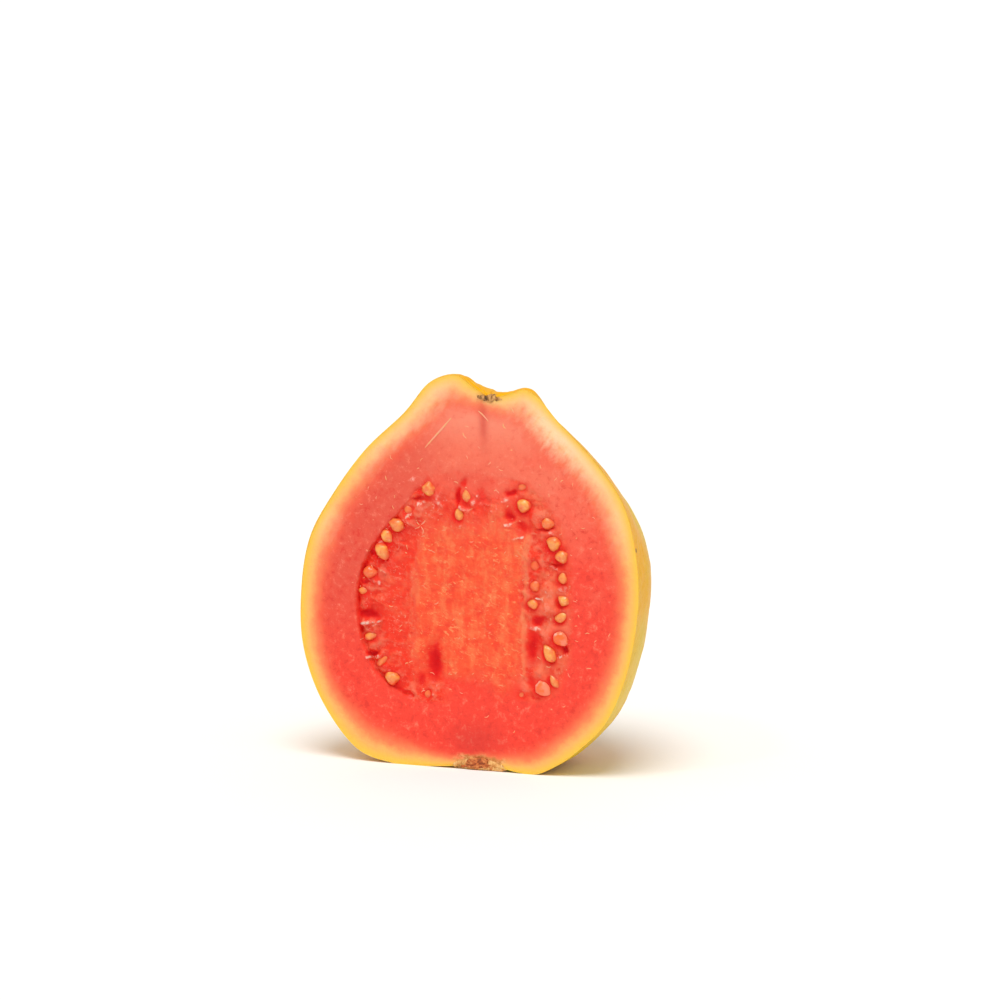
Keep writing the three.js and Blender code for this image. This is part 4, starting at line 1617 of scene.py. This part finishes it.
@dataclass
class Studio:
    """The pale floor, the soft light and the camera at the photograph's angle."""

    turn: float = 21.0
    tilt: float = 11.0
    lens: float = 500.0
    distance: float = 3148.0
    aim_right: float = 4.4
    aim_up: float = 62.7
    floor_half: float = 8.0
    floor_colour: str = "#ffffff"
    world_light: float = 0.52
    world_tint: tuple[float, float, float] = (1.0, 0.94, 0.85)
    sun_light: float = 2.03
    sun_size: float = 32.0
    sun_from: tuple[float, float, float] = (0.1, -0.38, 1.0)
    glint_light: float = 0.14
    glint_size: float = 4.0
    glint_from: tuple[float, float, float] = (-0.35, -0.7, 1.0)

    def build(self, place: Place) -> None:
        """Sets the stage, the lights and the camera."""
        self._floor()
        self._world()
        self._sun("soft_sun", self.sun_light, self.sun_size, self.sun_from)
        self._sun("glint_sun", self.glint_light, self.glint_size, self.glint_from)
        self._camera(place)
        view = bpy.context.scene.view_settings
        view.view_transform = "Standard"
        view.look = "None"

    def _floor(self) -> None:
        """Lays the floor."""
        floor = named_primitive("floor", bpy.ops.mesh.primitive_plane_add, size=2 * self.floor_half)
        paint = Paint("floor_white")
        floor.data.materials.append(paint.finish(Base_Color=self.floor_colour, Roughness=0.7))

    def _world(self) -> None:
        """Fills the room with even, slightly warm light."""
        world = bpy.data.worlds.new("white_room")
        world.use_nodes = True
        background = world.node_tree.nodes["Background"]
        background.inputs["Color"].default_value = (*self.world_tint, 1)
        background.inputs["Strength"].default_value = self.world_light
        bpy.context.scene.world = world

    def _sun(self, name: str, power: float, size: float, come_from: Sequence[float]) -> None:
        """Lights the fruit with a sun of a given width in degrees, from a given direction."""
        light = bpy.data.lights.new(name, "SUN")
        light.energy = power
        light.angle = math.radians(size)
        lamp = bpy.data.objects.new(name, light)
        bpy.context.collection.objects.link(lamp)
        lamp.rotation_euler = (-Vector(come_from)).to_track_quat("-Z", "Y").to_euler()

    def _camera(self, place: Place) -> None:
        """Stands the camera where the photograph was taken from."""
        a, e = math.radians(self.turn), math.radians(self.tilt)
        right = np.array((math.cos(a), math.sin(a), 0.0))
        back = np.array((math.sin(a) * math.cos(e), -math.cos(a) * math.cos(e), math.sin(e)))
        aim = np.array((0.0, 0.0, self.aim_up)) + self.aim_right * right
        data = bpy.data.cameras.new("photo_view")
        data.lens = self.lens
        data.sensor_width = 36.0
        camera = bpy.data.objects.new("photo_view", data)
        bpy.context.collection.objects.link(camera)
        camera.location = Vector(place.world(aim + self.distance * back))
        camera.rotation_euler = Vector(-back).to_track_quat("-Z", "Y").to_euler()
        bpy.context.scene.camera = camera


def main() -> None:
    """Sets the stage, builds every piece and reports it."""
    logging.basicConfig(level=logging.INFO, format="%(name)s: %(message)s")
    form, face = SkinForm(), CutFace()
    place = Place.from_frame(form)
    Studio().build(place)
    pieces = [FruitBody(form, face).build(place), *SeedBed().build(place), Strands(face).build(place)]
    pieces += [StemScar().build(place), *Calyx().build(place)]
    for piece in pieces:
        triangles = sum(len(polygon.vertices) - 2 for polygon in piece.data.polygons)
        log.info("%s: %d triangles, rides with %s", piece.name, triangles, BODY)


if __name__ == "__main__":
    main()
